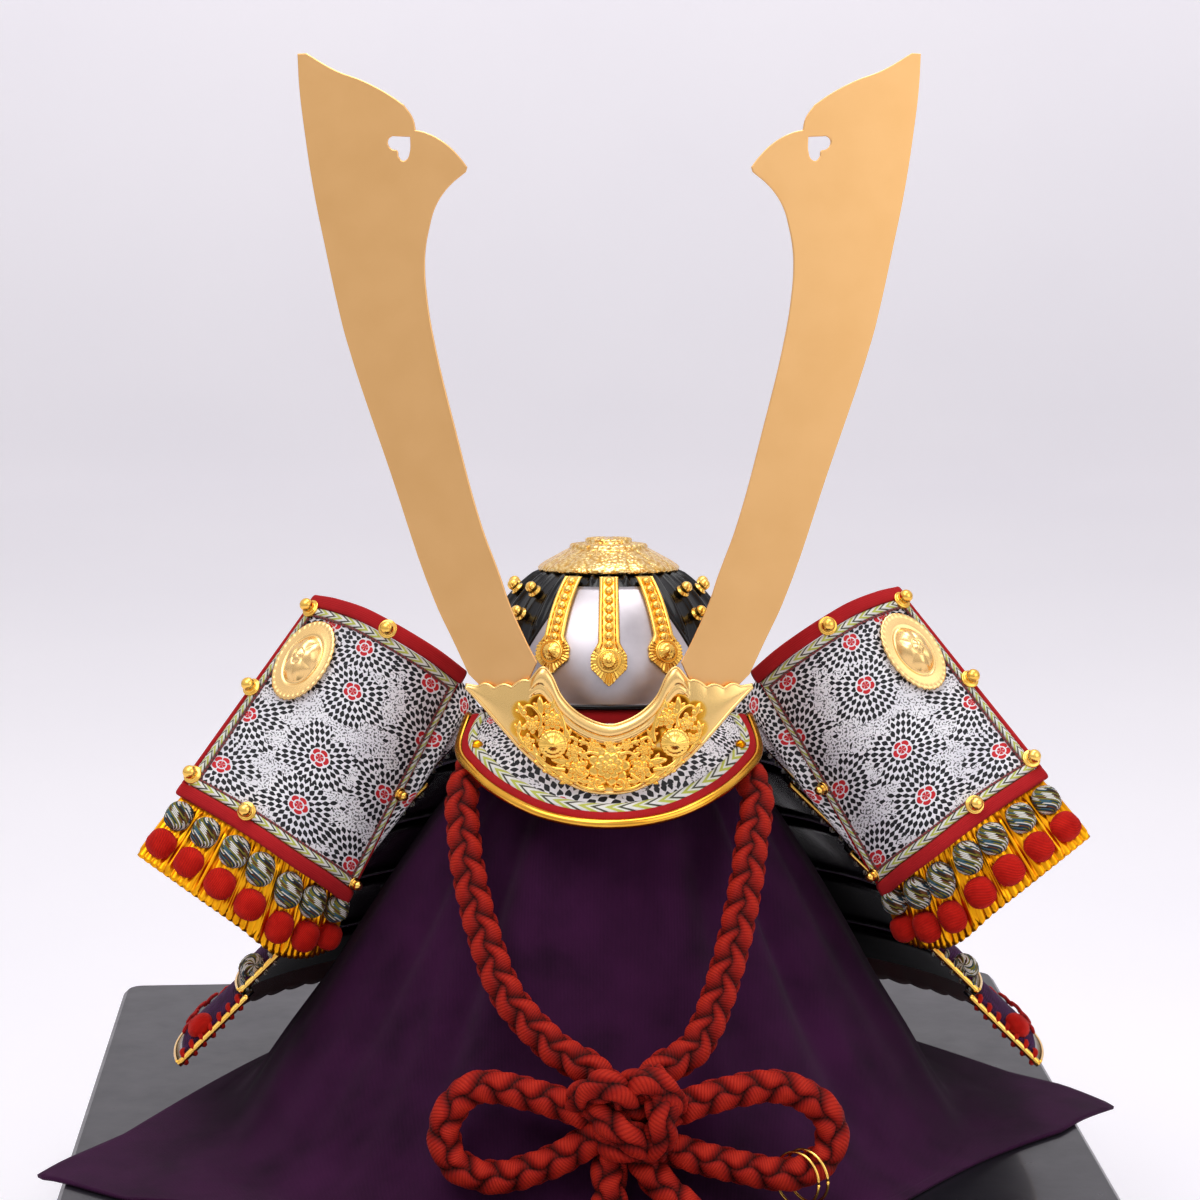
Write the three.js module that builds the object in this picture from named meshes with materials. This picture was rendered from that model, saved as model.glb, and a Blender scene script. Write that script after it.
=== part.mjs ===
// Samurai helmet on a cloth-draped display stand. Millimetres, +Z up, the front looks along -Y.
// Points are laid out from the middle of the stand's top, under the bowl, and moved to the floor at the end.
import * as THREE from "three";

const bowl = { width: 100, crown: 7, wall: 1.6, tilt: 6.5 };
bowl.rise = 1.69 * bowl.width; // height of the rim's middle over the stand
const box = { width: 397, depth: 360, height: 80, corner: 6, edge: 2, turn: 3, shift: [-11.8, -17.7] };
const drape = { wall: 1.8, turn: 9.3, centre: [-6, -2.5], fold: 4.5 };
drape.tip = 2.26 * bowl.width; // to the cloth's corners, and to the middle of its edges
drape.reach = 1.52 * bowl.width;
drape.forward = 0.36 * bowl.width; // how far the left and right corners are pulled to the front
const post = { radius: 21, head: 34, foot: 44, footHeight: 8, clear: 0.9 };
const gap = 0.3; // clearance between pieces that touch
const W = bowl.width; // the tables below are shares of the bowl's width
const R = W / 2;
const tilt = THREE.MathUtils.degToRad(bowl.tilt);
const rad = THREE.MathUtils.degToRad;
const { lerp } = THREE.MathUtils;
const V = (x, y, z) => new THREE.Vector3(x, y, z);

const looks = {
  lacquer: { color: 0x0a0a0d, roughness: 0.25, metalness: 0.0 },
  silver: { color: 0xc9c2c4, roughness: 0.3, metalness: 1.0 },
  gold: { color: 0xe9b63f, roughness: 0.28, metalness: 1.0 },
  satinGold: { color: 0xd6a35f, roughness: 0.4, metalness: 1.0 },
  scaleGold: { color: 0xf2a618, roughness: 0.35, metalness: 1.0 },
  leather: { color: 0xedebf2, roughness: 0.7, metalness: 0.0 },
  redCloth: { color: 0xb22a2e, roughness: 0.85, metalness: 0.0 },
  purpleCloth: { color: 0x3a1a3c, roughness: 0.9, metalness: 0.0 },
  redCord: { color: 0xb52418, roughness: 0.75, metalness: 0.0 },
  mixedThread: { color: 0x8a7a66, roughness: 0.8, metalness: 0.0 },
  standBlack: { color: 0x1b1a1e, roughness: 0.3, metalness: 0.0 },
  wood: { color: 0xb98d5e, roughness: 0.6, metalness: 0.0 },
};

const root = new THREE.Group();
const floorShift = V(-drape.centre[0], -drape.centre[1], box.height);

// Adds one closed body, turned outwards, standing on the floor.
function add(name, geometry, look) {
  const g = geometry.index ? geometry.toNonIndexed() : geometry;
  const p = g.attributes.position;
  let volume = 0;
  const [a, b, c] = [V(0, 0, 0), V(0, 0, 0), V(0, 0, 0)];
  for (let i = 0; i < p.count; i += 3) {
    a.fromBufferAttribute(p, i);
    b.fromBufferAttribute(p, i + 1);
    c.fromBufferAttribute(p, i + 2);
    volume += a.dot(b.cross(c));
  }
  if (volume < 0)
    for (let i = 0; i < p.count; i += 3) {
      a.fromBufferAttribute(p, i);
      b.fromBufferAttribute(p, i + 1);
      p.setXYZ(i, b.x, b.y, b.z);
      p.setXYZ(i + 1, a.x, a.y, a.z);
    }
  const clean = new THREE.BufferGeometry();
  clean.setAttribute("position", p);
  clean.translate(floorShift.x, floorShift.y, floorShift.z);
  clean.computeVertexNormals();
  const mesh = new THREE.Mesh(clean, new THREE.MeshStandardMaterial(looks[look]));
  mesh.name = name;
  root.add(mesh);
}

// A closed sheet over a patch: at(u, v) is the surface, lo and hi how far the two faces stand off it.
function sheet({ nu, nv, at, lo = () => 0, hi, ring = false }) {
  const cols = ring ? nu : nu + 1;
  const e = 1e-3;
  const stand = (u, v, off) => {
    const du = at(ring ? u + e : Math.min(1, u + e), v).sub(at(ring ? u - e : Math.max(0, u - e), v));
    const dv = at(u, Math.min(1, v + e)).sub(at(u, Math.max(0, v - e)));
    return at(u, v).addScaledVector(du.cross(dv).normalize(), off);
  };
  const pos = [];
  for (const face of [hi, lo])
    for (let j = 0; j <= nv; j++)
      for (let i = 0; i < cols; i++) pos.push(...stand(i / nu, j / nv, face(i / nu, j / nv)).toArray());
  const o = (i, j) => j * cols + (i % cols);
  const n = (i, j) => o(i, j) + cols * (nv + 1);
  const idx = [];
  const quad = (a, b, c, d) => idx.push(a, b, c, a, c, d);
  for (let j = 0; j < nv; j++)
    for (let i = 0; i < nu; i++) {
      quad(o(i, j), o(i + 1, j), o(i + 1, j + 1), o(i, j + 1));
      quad(n(i, j), n(i, j + 1), n(i + 1, j + 1), n(i + 1, j));
    }
  for (let i = 0; i < nu; i++) {
    quad(o(i + 1, 0), o(i, 0), n(i, 0), n(i + 1, 0));
    quad(o(i, nv), o(i + 1, nv), n(i + 1, nv), n(i, nv));
  }
  if (!ring)
    for (let j = 0; j < nv; j++) {
      quad(o(0, j), o(0, j + 1), n(0, j + 1), n(0, j));
      quad(o(nu, j + 1), o(nu, j), n(nu, j), n(nu, j + 1));
    }
  const g = new THREE.BufferGeometry();
  g.setAttribute("position", new THREE.Float32BufferAttribute(pos, 3));
  g.setIndex(idx);
  return g;
}

const turned = (profile, segments) =>
  new THREE.LatheGeometry(profile.map(([r, h]) => new THREE.Vector2(r, h)), segments).rotateX(Math.PI / 2);

// From the helmet's own frame, leaning back about the middle of the bowl's rim, to the stand's.
const lean = (g) => g.rotateX(-tilt).translate(0, 0, bowl.rise);
const leanPoint = (p) => p.applyAxisAngle(V(1, 0, 0), -tilt).add(V(0, 0, bowl.rise));

// A smooth line through the rows of a table of shares.
const through = (rows, k = W) =>
  new THREE.CatmullRomCurve3(rows.map(({ x, y, z }) => V(x * k, y * k, z * k)), false, "catmullrom", 0.5);
const mirror = (g) => g.scale(-1, 1, 1);

// Stand: plinth, post with a round head, and the cloth over both.
{
  const h = box.width / 2 - box.edge;
  const k = box.depth / 2 - box.edge;
  const r = box.corner;
  const s = new THREE.Shape();
  s.moveTo(h, -k + r).lineTo(h, k - r).absarc(h - r, k - r, r, 0, Math.PI / 2);
  s.lineTo(-h + r, k).absarc(-h + r, k - r, r, Math.PI / 2, Math.PI);
  s.lineTo(-h, -k + r).absarc(-h + r, -k + r, r, Math.PI, 1.5 * Math.PI);
  s.lineTo(h - r, -k).absarc(h - r, -k + r, r, 1.5 * Math.PI, 2 * Math.PI);
  const g = new THREE.ExtrudeGeometry(s, {
    depth: box.height - 2 * box.edge, bevelEnabled: true, bevelThickness: box.edge, bevelSize: box.edge,
    bevelSegments: 1, curveSegments: 3,
  });
  g.rotateZ(rad(box.turn)).translate(box.shift[0], box.shift[1], box.edge - box.height);
  add("base_box", g, "standBlack");
}
const sphereMid = bowl.rise + bowl.crown * Math.cos(tilt); // height of the middle of the bowl's sphere
const headMid = sphereMid + R - bowl.wall - 2 * gap - drape.wall - post.clear - post.head;
const headBack = bowl.crown * Math.sin(tilt);
{
  const dome = [];
  for (let i = 0; i <= 6; i++) {
    const a = lerp(rad(128), 0, i / 6);
    dome.push([i === 6 ? 0 : post.head * Math.sin(a), headMid + post.head * Math.cos(a)]);
  }
  add("stand_post", turned([[0, gap], [post.foot, gap], [post.foot, post.footHeight], [post.radius, post.footHeight + 6],
    [post.radius, dome[0][1] - 6], ...dome], 18).translate(0, headBack, 0), "wood");
}
// The cloth's own profile, as shares of the bowl's width: how far out, how high, how much it folds.
const clothFall = [
  { r: 0.39, z: 1.66, fold: 0 }, { r: 0.43, z: 1.5, fold: 0.1 }, { r: 0.6, z: 1.3, fold: 0.4 },
  { r: 0.75, z: 1.07, fold: 0.75 }, { r: 0.9, z: 0.82, fold: 1.0 }, { r: 1.06, z: 0.55, fold: 1.0 }, { r: 1.22, z: 0.31, fold: 0.9 },
  { r: 1.34, z: 0.13, fold: 0.6 }, { r: 1.44, z: 0.03, fold: 0.2 },
];
function clothAt(u, v) {
  const a = u * 2 * Math.PI;
  const rows = clothFall.length;
  const head = 4; // steps over the round head
  const steps = head + rows + 2;
  const s = v * steps;
  const off = (((a - rad(drape.turn)) % (Math.PI / 2)) + Math.PI / 2) % (Math.PI / 2);
  const edge = Math.min(drape.tip, drape.reach / Math.cos(off - Math.PI / 4));
  const toCorner = Math.abs(Math.cos(2 * (a - rad(drape.turn))));
  const ripple = 0.6 * Math.sin(7 * a + 2.6) + 0.4 * Math.sin(4 * a + 2.6);
  const capR = post.head + post.clear;
  const station = (k) => {
    if (k <= head) {
      const t = lerp(rad(2), rad(88), k / head);
      return [capR * Math.sin(t), headMid + capR * Math.cos(t)];
    }
    if (k <= head + rows) {
      const row = clothFall[k - head - 1];
      const out = row.r * W + row.fold * (drape.fold * ripple + 4 * (toCorner - 0.5));
      return [out, Math.max(gap, row.z * W)];
    }
    const last = clothFall[rows - 1].r * W + 2;
    return [lerp(last, edge, (k - head - rows) / 2), gap];
  };
  const k = Math.min(steps - 1, Math.floor(s));
  const [r0, z0] = station(k);
  const [r1, z1] = station(k + 1);
  const f = s - k;
  const r = lerp(r0, r1, f);
  const flat = THREE.MathUtils.clamp((r - 0.4 * W) / (0.9 * W), 0, 1); // the cone is over the post
  const cx = lerp(0, drape.centre[0], flat);
  const cy = lerp(headBack, drape.centre[1], flat);
  const side = Math.cos(a - rad(drape.turn));
  const pulled = (1 - side / 6) * side * side * THREE.MathUtils.clamp((r - 1.34 * W) / (0.5 * W), 0, 1);
  return V(cx + r * Math.cos(a), cy + r * Math.sin(a) - drape.forward * pulled, lerp(z0, z1, f));
}
add("cloth_drape", sheet({ nu: 40, nv: 15, ring: true, at: (u, v) => clothAt(-u, v), lo: () => 0,
  hi: () => drape.wall }), "purpleCloth");

// Bowl: black lacquered shell, silver front plate, band below the rim, crown ornament.
{
  const inner = R - bowl.wall;
  const rimAngle = Math.acos(-bowl.crown / R);
  const profile = [];
  for (let i = 0; i <= 8; i++) profile.push([i ? R * Math.sin((rimAngle * i) / 8) : 0, bowl.crown + R * Math.cos((rimAngle * i) / 8)]);
  const innerAngle = Math.acos(-bowl.crown / inner);
  for (let i = 8; i >= 0; i--)
    profile.push([i ? inner * Math.sin((innerAngle * i) / 8) : 0, bowl.crown + inner * Math.cos((innerAngle * i) / 8)]);
  add("bowl", lean(turned(profile, 32)), "lacquer");
}
const band = { height: 6, wall: 1.5 };
add("rim_band", lean(turned([[R - 2 - band.wall, -gap - band.height], [R - 0.8, -gap - band.height],
  [R - 0.8, -gap], [R - 2 - band.wall, -gap], [R - 2 - band.wall, -gap - band.height]], 32)), "redCloth");
// A point on a sphere of radius r about the bowl's middle, by bearing from the front and height over the rim.
const onBowl = (r, bearing, h) => {
  const out = Math.sqrt(Math.max(0, r * r - (h - bowl.crown) ** 2));
  return leanPoint(V(out * Math.sin(bearing), -out * Math.cos(bearing), h));
};
const plate = { wall: 0.8, off: 0.5, low: 1, high: 0.91 * R, wide: 52, narrow: 26 };
add("front_plate", sheet({ nu: 10, nv: 5,
  at: (u, v) => onBowl(R + plate.off, (2 * u - 1) * rad(lerp(plate.wide, plate.narrow, v)), lerp(plate.low, plate.high, v)),
  hi: () => plate.wall }), "silver");
const strip = { bearing: 25.5, wall: 1.6, top: 0.985 * R, low: 0.19 * R, sideLow: 0.27 * R };
// Half width of a strip down its length, in millimetres, ending in a pointed head.
const stripHalf = (v) => (v < 0.6 ? lerp(3.7, 4.2, v / 0.6) : v < 0.72 ? lerp(4.2, 6.9, (v - 0.6) / 0.12)
  : v < 0.84 ? 6.9 : lerp(6.9, 0.5, (v - 0.84) / 0.16));
[["strip_left", -1], ["strip_middle", 0], ["strip_right", 1]].forEach(([name, k]) => {
  const base = R + plate.off + plate.wall + gap + 0.1;
  add(name, sheet({ nu: 2, nv: 12,
    at: (u, v) => {
      const h = lerp(k ? strip.sideLow : strip.low, strip.top, 1 - v);
      const out = Math.sqrt(base * base - (h - bowl.crown) ** 2);
      return onBowl(base, rad(k * strip.bearing) + ((1 - 2 * u) * stripHalf(v)) / out, h);
    },
    hi: () => strip.wall }), "gold");
});
const crown = { radius: 0.546 * R, step: 0.44 * R, top: 0.304 * R, button: 0.188 * R, rise: 5.5 };
{
  const under = R + 2 * gap; // just clear of the bowl; the strips end outside it
  const inside = (r) => bowl.crown + Math.sqrt(under * under - r * r);
  const peak = R + bowl.crown; // the top of the bowl
  const bore = (k) => [k * crown.radius, inside(k * crown.radius)];
  add("crown_ornament", lean(turned([[0, peak + gap], [0.33 * crown.radius, peak + gap], bore(0.44), bore(0.7), bore(0.978),
    [crown.radius, inside(crown.radius) + 1.1], [crown.step, peak - 2.3], [crown.top, peak + 0.39 * crown.rise],
    [crown.top - 0.6, peak + 0.66 * crown.rise], [crown.button, peak + 0.7 * crown.rise],
    [crown.button - 0.6, peak + 0.94 * crown.rise], [0, peak + crown.rise]], 25)), "gold");
}

// Visor, its gold rim, and the crest holder standing on it.
const visorTable = [
  { x: 0.561, y: -0.2, z: 1.654 }, { x: 0.587, y: -0.38, z: 1.562 }, { x: 0.543, y: -0.5, z: 1.513 },
  { x: 0.415, y: -0.68, z: 1.454 }, { x: 0.225, y: -0.82, z: 1.403 }, { x: 0.0, y: -0.88, z: 1.389 },
];
const visor = { wall: 1.6, rim: 1.7, bearing: 66, inner: R + 0.2, drop: 5.6 };
const visorOuter = through([...visorTable.map((p) => ({ ...p, x: -p.x })), ...visorTable.slice(0, -1).reverse()]);
const visorInner = (u) => {
  const a = rad(visor.bearing) * (2 * u - 1);
  return leanPoint(V(visor.inner * Math.sin(a), -visor.inner * Math.cos(a), -visor.drop));
};
function visorEdge(u, back) {
  const o = visorOuter.getPoint(u);
  return o.add(visorInner(u).sub(o).normalize().multiplyScalar(back));
}
add("visor", sheet({ nu: 24, nv: 2,
  at: (u, v) => visorInner(u).lerp(visorEdge(u, 2 * visor.rim + 2 * gap), v),
  lo: () => -visor.wall / 2, hi: () => visor.wall / 2 }), "leather");
function tube(curve, radius, steps, sides = 8) {
  const ring = [];
  for (let i = 0; i < sides; i++)
    ring.push(new THREE.Vector2(radius * Math.cos((2 * Math.PI * i) / sides), radius * Math.sin((2 * Math.PI * i) / sides)));
  return new THREE.ExtrudeGeometry(new THREE.Shape(ring), { steps, extrudePath: curve, bevelEnabled: false });
}
{
  const pts = [];
  for (let i = 0; i <= 12; i++) pts.push(visorEdge(i / 12, visor.rim));
  add("visor_rim", tube(new THREE.CatmullRomCurve3(pts), visor.rim, 26, 6), "gold");
}
// Crest holder: half of it from the middle to the wing tip, lower and upper outline, shares of the bowl's width.
const holder = { wall: 1.6, foot: 1.497 * W, front: -0.77 * W, bow: 0.1 * W, halfSpan: 0.54 * W };
const holderTable = [
  { x: 0.0, low: 0.0, upX: 0.0, up: 0.25 }, { x: 0.075, low: 0.007, upX: 0.06, up: 0.264 },
  { x: 0.145, low: 0.032, upX: 0.125, up: 0.3 }, { x: 0.2, low: 0.058, upX: 0.178, up: 0.355 },
  { x: 0.245, low: 0.085, upX: 0.215, up: 0.43 }, { x: 0.29, low: 0.122, upX: 0.25, up: 0.458 },
  { x: 0.34, low: 0.168, upX: 0.3, up: 0.405 }, { x: 0.4, low: 0.232, upX: 0.37, up: 0.378 },
  { x: 0.46, low: 0.298, upX: 0.445, up: 0.372 }, { x: 0.535, low: 0.372, upX: 0.535, up: 0.38 },
];
const holderY = (x, z) => holder.front + holder.bow * (x / holder.halfSpan) ** 2 + Math.tan(tilt) * (z - holder.foot);
const last = holderTable.length - 1;
add("crest_holder", sheet({ nu: 2 * last, nv: 3,
  at: (u, v) => {
    const k = Math.abs(u - 0.5) * 2 * last;
    const i = Math.min(last - 1, Math.floor(k));
    const [a, b, f, s] = [holderTable[i], holderTable[i + 1], k - i, u < 0.5 ? -1 : 1];
    const x = s * W * lerp(lerp(a.x, b.x, f), lerp(a.upX, b.upX, f), v);
    const z = holder.foot + W * lerp(lerp(a.low, b.low, f), lerp(a.up, b.up, f), v);
    return V(x, holderY(x, z), z);
  },
  hi: (u, v) => holder.wall + (v > 0.9 ? 0 : v > 0.6 ? 1.2 * (1 - Math.abs(2 * u - 1)) : 0.3) }), "gold");

// Crest horns: flat plates in the holder, outline as shares of the horn's height, with a pierced heart.
const horn = { height: 230, wall: 1.4, yaw: 11, foot: [0.28 * W, -0.669 * W, 1.9 * W] };
const hornTable = [
  [-0.005, 0.029], [0.016, -0.02], [0.075, -0.025], [0.108, 0.005], [0.132, 0.053], [0.167, 0.122], [0.245, 0.33],
  [0.322, 0.542], [0.336, 0.592], [0.359, 0.687], [0.381, 0.784], [0.397, 0.875], [0.407, 0.946], [0.411, 1.001],
  [0.396, 1.002], [0.347, 0.975], [0.3, 0.958], [0.258, 0.937], [0.232, 0.92], [0.217, 0.899], [0.212, 0.88],
  [0.197, 0.877], [0.163, 0.86], [0.138, 0.837], [0.126, 0.822], [0.128, 0.814], [0.147, 0.799], [0.162, 0.783],
  [0.178, 0.756], [0.187, 0.723], [0.192, 0.693], [0.193, 0.662], [0.189, 0.617], [0.178, 0.555], [0.137, 0.4],
  [0.091, 0.247], [0.059, 0.167], [0.044, 0.126], [0.016, 0.067],
].map(([across, up]) => ({ across, up }));
const heartTable = [[0.221, 0.869], [0.221, 0.845], [0.226, 0.833], [0.233, 0.831], [0.24, 0.838], [0.242, 0.847],
  [0.25, 0.849], [0.257, 0.856], [0.257, 0.865], [0.251, 0.87]].map(([across, up]) => ({ across, up }));
{
  const point = ({ across, up }) => new THREE.Vector2(across * horn.height, up * horn.height);
  const build = () => {
    const s = new THREE.Shape(hornTable.map(point));
    s.holes.push(new THREE.Path(heartTable.map(point)));
    const g = new THREE.ExtrudeGeometry(s, { depth: horn.wall, bevelEnabled: false });
    g.translate(0, 0, -horn.wall / 2).rotateX(Math.PI / 2 - tilt).rotateZ(rad(horn.yaw));
    return g.translate(...horn.foot);
  };
  add("horn_right", build(), "satinGold");
  add("horn_left", mirror(build()), "satinGold");
}

// Turned-back wings: a ruled plate between a top and a bottom line, inner end first.
const wing = { wall: 2, roll: 0.058, rollOut: 1.6, rollIn: 0.8, droop: 3.3 };
const wingTop = through([
  { x: 0.558, y: -0.14, z: 1.824 }, { x: 0.64, y: -0.26, z: 1.929 }, { x: 0.735, y: -0.32, z: 2.015 },
  { x: 0.831, y: -0.31, z: 2.076 }, { x: 0.922, y: -0.26, z: 2.117 }, { x: 1.029, y: -0.18, z: 2.141 },
  { x: 1.117, y: -0.1, z: 2.145 },
]);
const wingLow = through([
  { x: 1.066, y: -0.42, z: 0.989 }, { x: 1.142, y: -0.52, z: 1.094 }, { x: 1.238, y: -0.57, z: 1.187 },
  { x: 1.342, y: -0.57, z: 1.273 }, { x: 1.447, y: -0.54, z: 1.343 }, { x: 1.566, y: -0.49, z: 1.409 },
  { x: 1.681, y: -0.42, z: 1.462 },
]);
const scaleLow = through([
  { x: 1.145, y: -0.36, z: 0.789 }, { x: 1.237, y: -0.48, z: 0.799 }, { x: 1.34, y: -0.57, z: 0.851 },
  { x: 1.457, y: -0.62, z: 0.977 }, { x: 1.579, y: -0.62, z: 1.079 }, { x: 1.711, y: -0.58, z: 1.174 },
  { x: 1.839, y: -0.5, z: 1.25 },
]);
const wingAt = (t, v) => wingTop.getPoint(t).lerp(wingLow.getPoint(t), v);
function wingOut(t, v) {
  const e = 1e-3;
  const du = wingAt(Math.min(1, t + e), v).sub(wingAt(Math.max(0, t - e), v));
  return wingLow.getPoint(t).sub(wingTop.getPoint(t)).cross(du).normalize();
}
const scale = { tuck: 0.9, behind: 4.3, wall: 1.5, rib: 0.5 };
const scaleAt = (t, v) =>
  wingAt(t, scale.tuck).addScaledVector(wingOut(t, scale.tuck), -scale.behind).lerp(scaleLow.getPoint(t), v);
const rosette = { radius: 0.172 * W, oval: 0.68, at: [0.8, 0.29] };
const tuft = { count: 7, upper: [0.37, 0.6], lower: [0.64, 0.91], high: 5.5 };
const pivot = wingTop.getPoint(0);
for (const [side, sign] of [["right", 1], ["left", -1]]) {
  const hang = (g) => {
    if (sign > 0) return g;
    const [px, py, pz] = [-pivot.x, pivot.y, pivot.z];
    return mirror(g).translate(-px, -py, -pz).rotateY(-rad(wing.droop)).translate(px, py, pz);
  };
  // u runs down the plate and v across it, so the faces look out to the front
  const patch = (at, v0, v1, nu, nv, lo, hi) => sheet({ nu, nv, at: (u, v) => at(v, lerp(v0, v1, u)),
    lo: () => lo, hi: typeof hi === "function" ? hi : () => hi });
  const step = gap / 100;
  add(`wing_${side}`, hang(patch(wingAt, wing.roll + step, 1 - wing.roll - step, 4, 12, -wing.wall, 0)), "leather");
  add(`wing_hem_top_${side}`, hang(patch(wingAt, 0, wing.roll, 1, 12, -wing.wall - wing.rollIn, wing.rollOut)), "redCloth");
  add(`wing_hem_low_${side}`, hang(patch(wingAt, 1 - wing.roll, 1, 1, 12, -wing.wall - wing.rollIn, wing.rollOut)), "redCloth");
  add(`scales_${side}`, hang(patch(scaleAt, 0, 1, 1, 28, -scale.wall, (u, v) => scale.rib * (Math.round(v * 28) % 2))), "scaleGold");
  for (const [row, look] of [["upper", "mixedThread"], ["lower", "redCord"]]) {
    const [a, b] = tuft[row];
    const n = tuft.count;
    const body = sheet({ nu: 2, nv: 3 * n, at: (u, v) => scaleAt(v, lerp(a, b, u)), lo: () => scale.rib + gap,
      hi: (u, v) => {
        const k = Math.round(v * 3 * n) % 3;
        return scale.rib + gap + (k ? tuft.high : 1.2) * (u > 0.1 && u < 0.9 ? 1 : 0.35);
      } });
    add(`tufts_${row}_${side}`, hang(body), look);
  }
  const [t, v] = rosette.at;
  const c = wingAt(t, v);
  const out = wingOut(t, v);
  const g = turned([[0, 0], [rosette.radius - 1, 0], [rosette.radius, 0.7], [rosette.radius - 1, 1.6],
    [0.605 * rosette.radius, 1.9], [0.477 * rosette.radius, 4.4], [0, 6.2]], 20);
  const down = wingLow.getPoint(t).sub(wingTop.getPoint(t)).normalize();
  g.scale(rosette.oval, 1, 1).applyMatrix4(new THREE.Matrix4().makeBasis(down.clone().cross(out), down, out));
  g.translate(...c.addScaledVector(out, gap).toArray());
  add(`rosette_${side}`, hang(g), "gold");
}

// Neck guard: five lames that widen to the back, each tucked under the one above.
const guard = { lames: 5, wall: 1.8, tuck: 4, under: 3, topR: R - 0.1, topH: -6.5, lowR: 1.7 * W, lowH: -1.39 * W, backSwell: 0.16 * W };
const slant = Math.hypot(guard.lowR - guard.topR, guard.lowH - guard.topH);
function guardAt(bearing, s, off) {
  const f = s / slant;
  const swell = guard.backSwell * f * Math.max(0, Math.sin(bearing)) ** 2;
  const r = lerp(guard.topR, guard.lowR, f) + swell - (off * (guard.lowH - guard.topH)) / slant;
  const h = lerp(guard.topH, guard.lowH, f) + (off * (guard.lowR - guard.topR)) / slant;
  return leanPoint(V(r * Math.cos(bearing), r * Math.sin(bearing), h));
}
const lameEnds = [-6, -8, -9, -13, -14]; // how far each lame's ends come round to the front, in degrees
// Dark returns that join the lames' front ends to the wings' inner edges.
const back = { wall: 1.5, from: 0.08, to: 0.84, edge: 0.03, bearing: [-2, -5], run: [3, 0.55] };
for (const [side, sign] of [["right", 1], ["left", -1]])
  add(`wing_return_${side}`, sheet({ nu: 2, nv: 6,
    at: (u, v) => {
      const w = lerp(back.from, back.to, v);
      const a = wingAt(back.edge, w).addScaledVector(wingOut(back.edge, w), -wing.wall - gap - back.wall / 2);
      if (sign < 0) a.sub(pivot).applyAxisAngle(V(0, 1, 0), rad(wing.droop)).add(pivot);
      const b = guardAt(rad(lerp(...back.bearing, v)), lerp(back.run[0], back.run[1] * slant, v), guard.wall + 2 * gap + back.wall / 2);
      return a.lerp(b, u).multiply(V(sign, 1, 1));
    },
    lo: () => -back.wall / 2, hi: () => back.wall / 2 }), "lacquer");
for (let k = 0; k < guard.lames; k++) {
  const run = slant / guard.lames;
  const [s0, s1] = [k ? k * run - guard.tuck : 0, (k + 1) * run];
  const [a0, a1] = [rad(lameEnds[k]), rad(180 - lameEnds[k])];
  add(`neck_lame_${k + 1}`, sheet({ nu: 24, nv: 1,
    at: (u, v) => guardAt(lerp(a1, a0, u), lerp(s0, s1, v), lerp(k ? -guard.under : 0, 0, v)),
    hi: () => guard.wall }), "lacquer");
}

// Chin cord: two strands, a bow's two loops, two tails, and the knot they meet in.
const cord = { radius: 0.059 * W };
const cordLines = {
  cord_strand_left: [8, [[-0.49, -0.2, 1.555], [-0.52, -0.36, 1.5], [-0.558, -0.52, 1.415], [-0.545, -0.66, 1.294], [-0.527, -0.76, 1.198],
    [-0.467, -0.92, 1.004], [-0.371, -1.07, 0.806], [-0.2, -1.19, 0.65], [-0.08, -1.26, 0.6]]],
  cord_strand_right: [8, [[0.49, -0.2, 1.555], [0.52, -0.36, 1.5], [0.562, -0.52, 1.405], [0.534, -0.67, 1.274], [0.514, -0.78, 1.169],
    [0.453, -0.96, 0.951], [0.375, -1.1, 0.748], [0.3, -1.19, 0.64], [0.2, -1.26, 0.6]]],
  cord_loop_left: [9, [[-0.078, -1.34, 0.455], [-0.25, -1.31, 0.505], [-0.467, -1.28, 0.533], [-0.576, -1.3, 0.446],
    [-0.593, -1.33, 0.343], [-0.538, -1.36, 0.259], [-0.394, -1.38, 0.229], [-0.2, -1.38, 0.29], [-0.13, -1.375, 0.33]]],
  cord_loop_right: [9, [[0.198, -1.34, 0.455], [0.399, -1.31, 0.515], [0.616, -1.28, 0.533], [0.778, -1.3, 0.446],
    [0.788, -1.34, 0.309], [0.65, -1.38, 0.241], [0.434, -1.38, 0.275], [0.25, -1.375, 0.325]]],
  cord_tail_left: [3, [[0.0, -1.385, 0.285], [0.0, -1.46, 0.17], [-0.02, -1.55, 0.1], [-0.04, -1.65, 0.09]]],
  cord_tail_right: [3, [[0.125, -1.39, 0.285], [0.22, -1.45, 0.19], [0.32, -1.51, 0.12], [0.37, -1.62, 0.09]]],
};
for (const [name, [steps, rows]] of Object.entries(cordLines))
  add(name, tube(through(rows.map(([x, y, z]) => ({ x, y, z }))), cord.radius, steps), "redCord");
const knot = { at: [0.06 * W, -1.34 * W, 0.46 * W], radius: 0.12 * W, half: 0.155 * W, flat: 0.8 };
{
  const g = turned([[0, -knot.half], [0.7 * knot.radius, -0.8 * knot.half], [knot.radius, -0.3 * knot.half],
    [knot.radius, 0.3 * knot.half], [0.7 * knot.radius, 0.8 * knot.half], [0, knot.half]], 14);
  add("chin_knot", g.scale(1, knot.flat, 1).translate(...knot.at), "redCord");
}

export default root;
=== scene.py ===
# Display samurai helmet: the finish and the soft pieces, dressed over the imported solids.
# Metres, +Z up, the front looks along -Y. Shapes are laid out in the helmet's own millimetres.
import random
import bpy
import bmesh
from math import acos, atan2, copysign, cos, exp, floor, hypot, pi, radians, sin, sqrt, tan
from mathutils import Matrix, Vector

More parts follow.
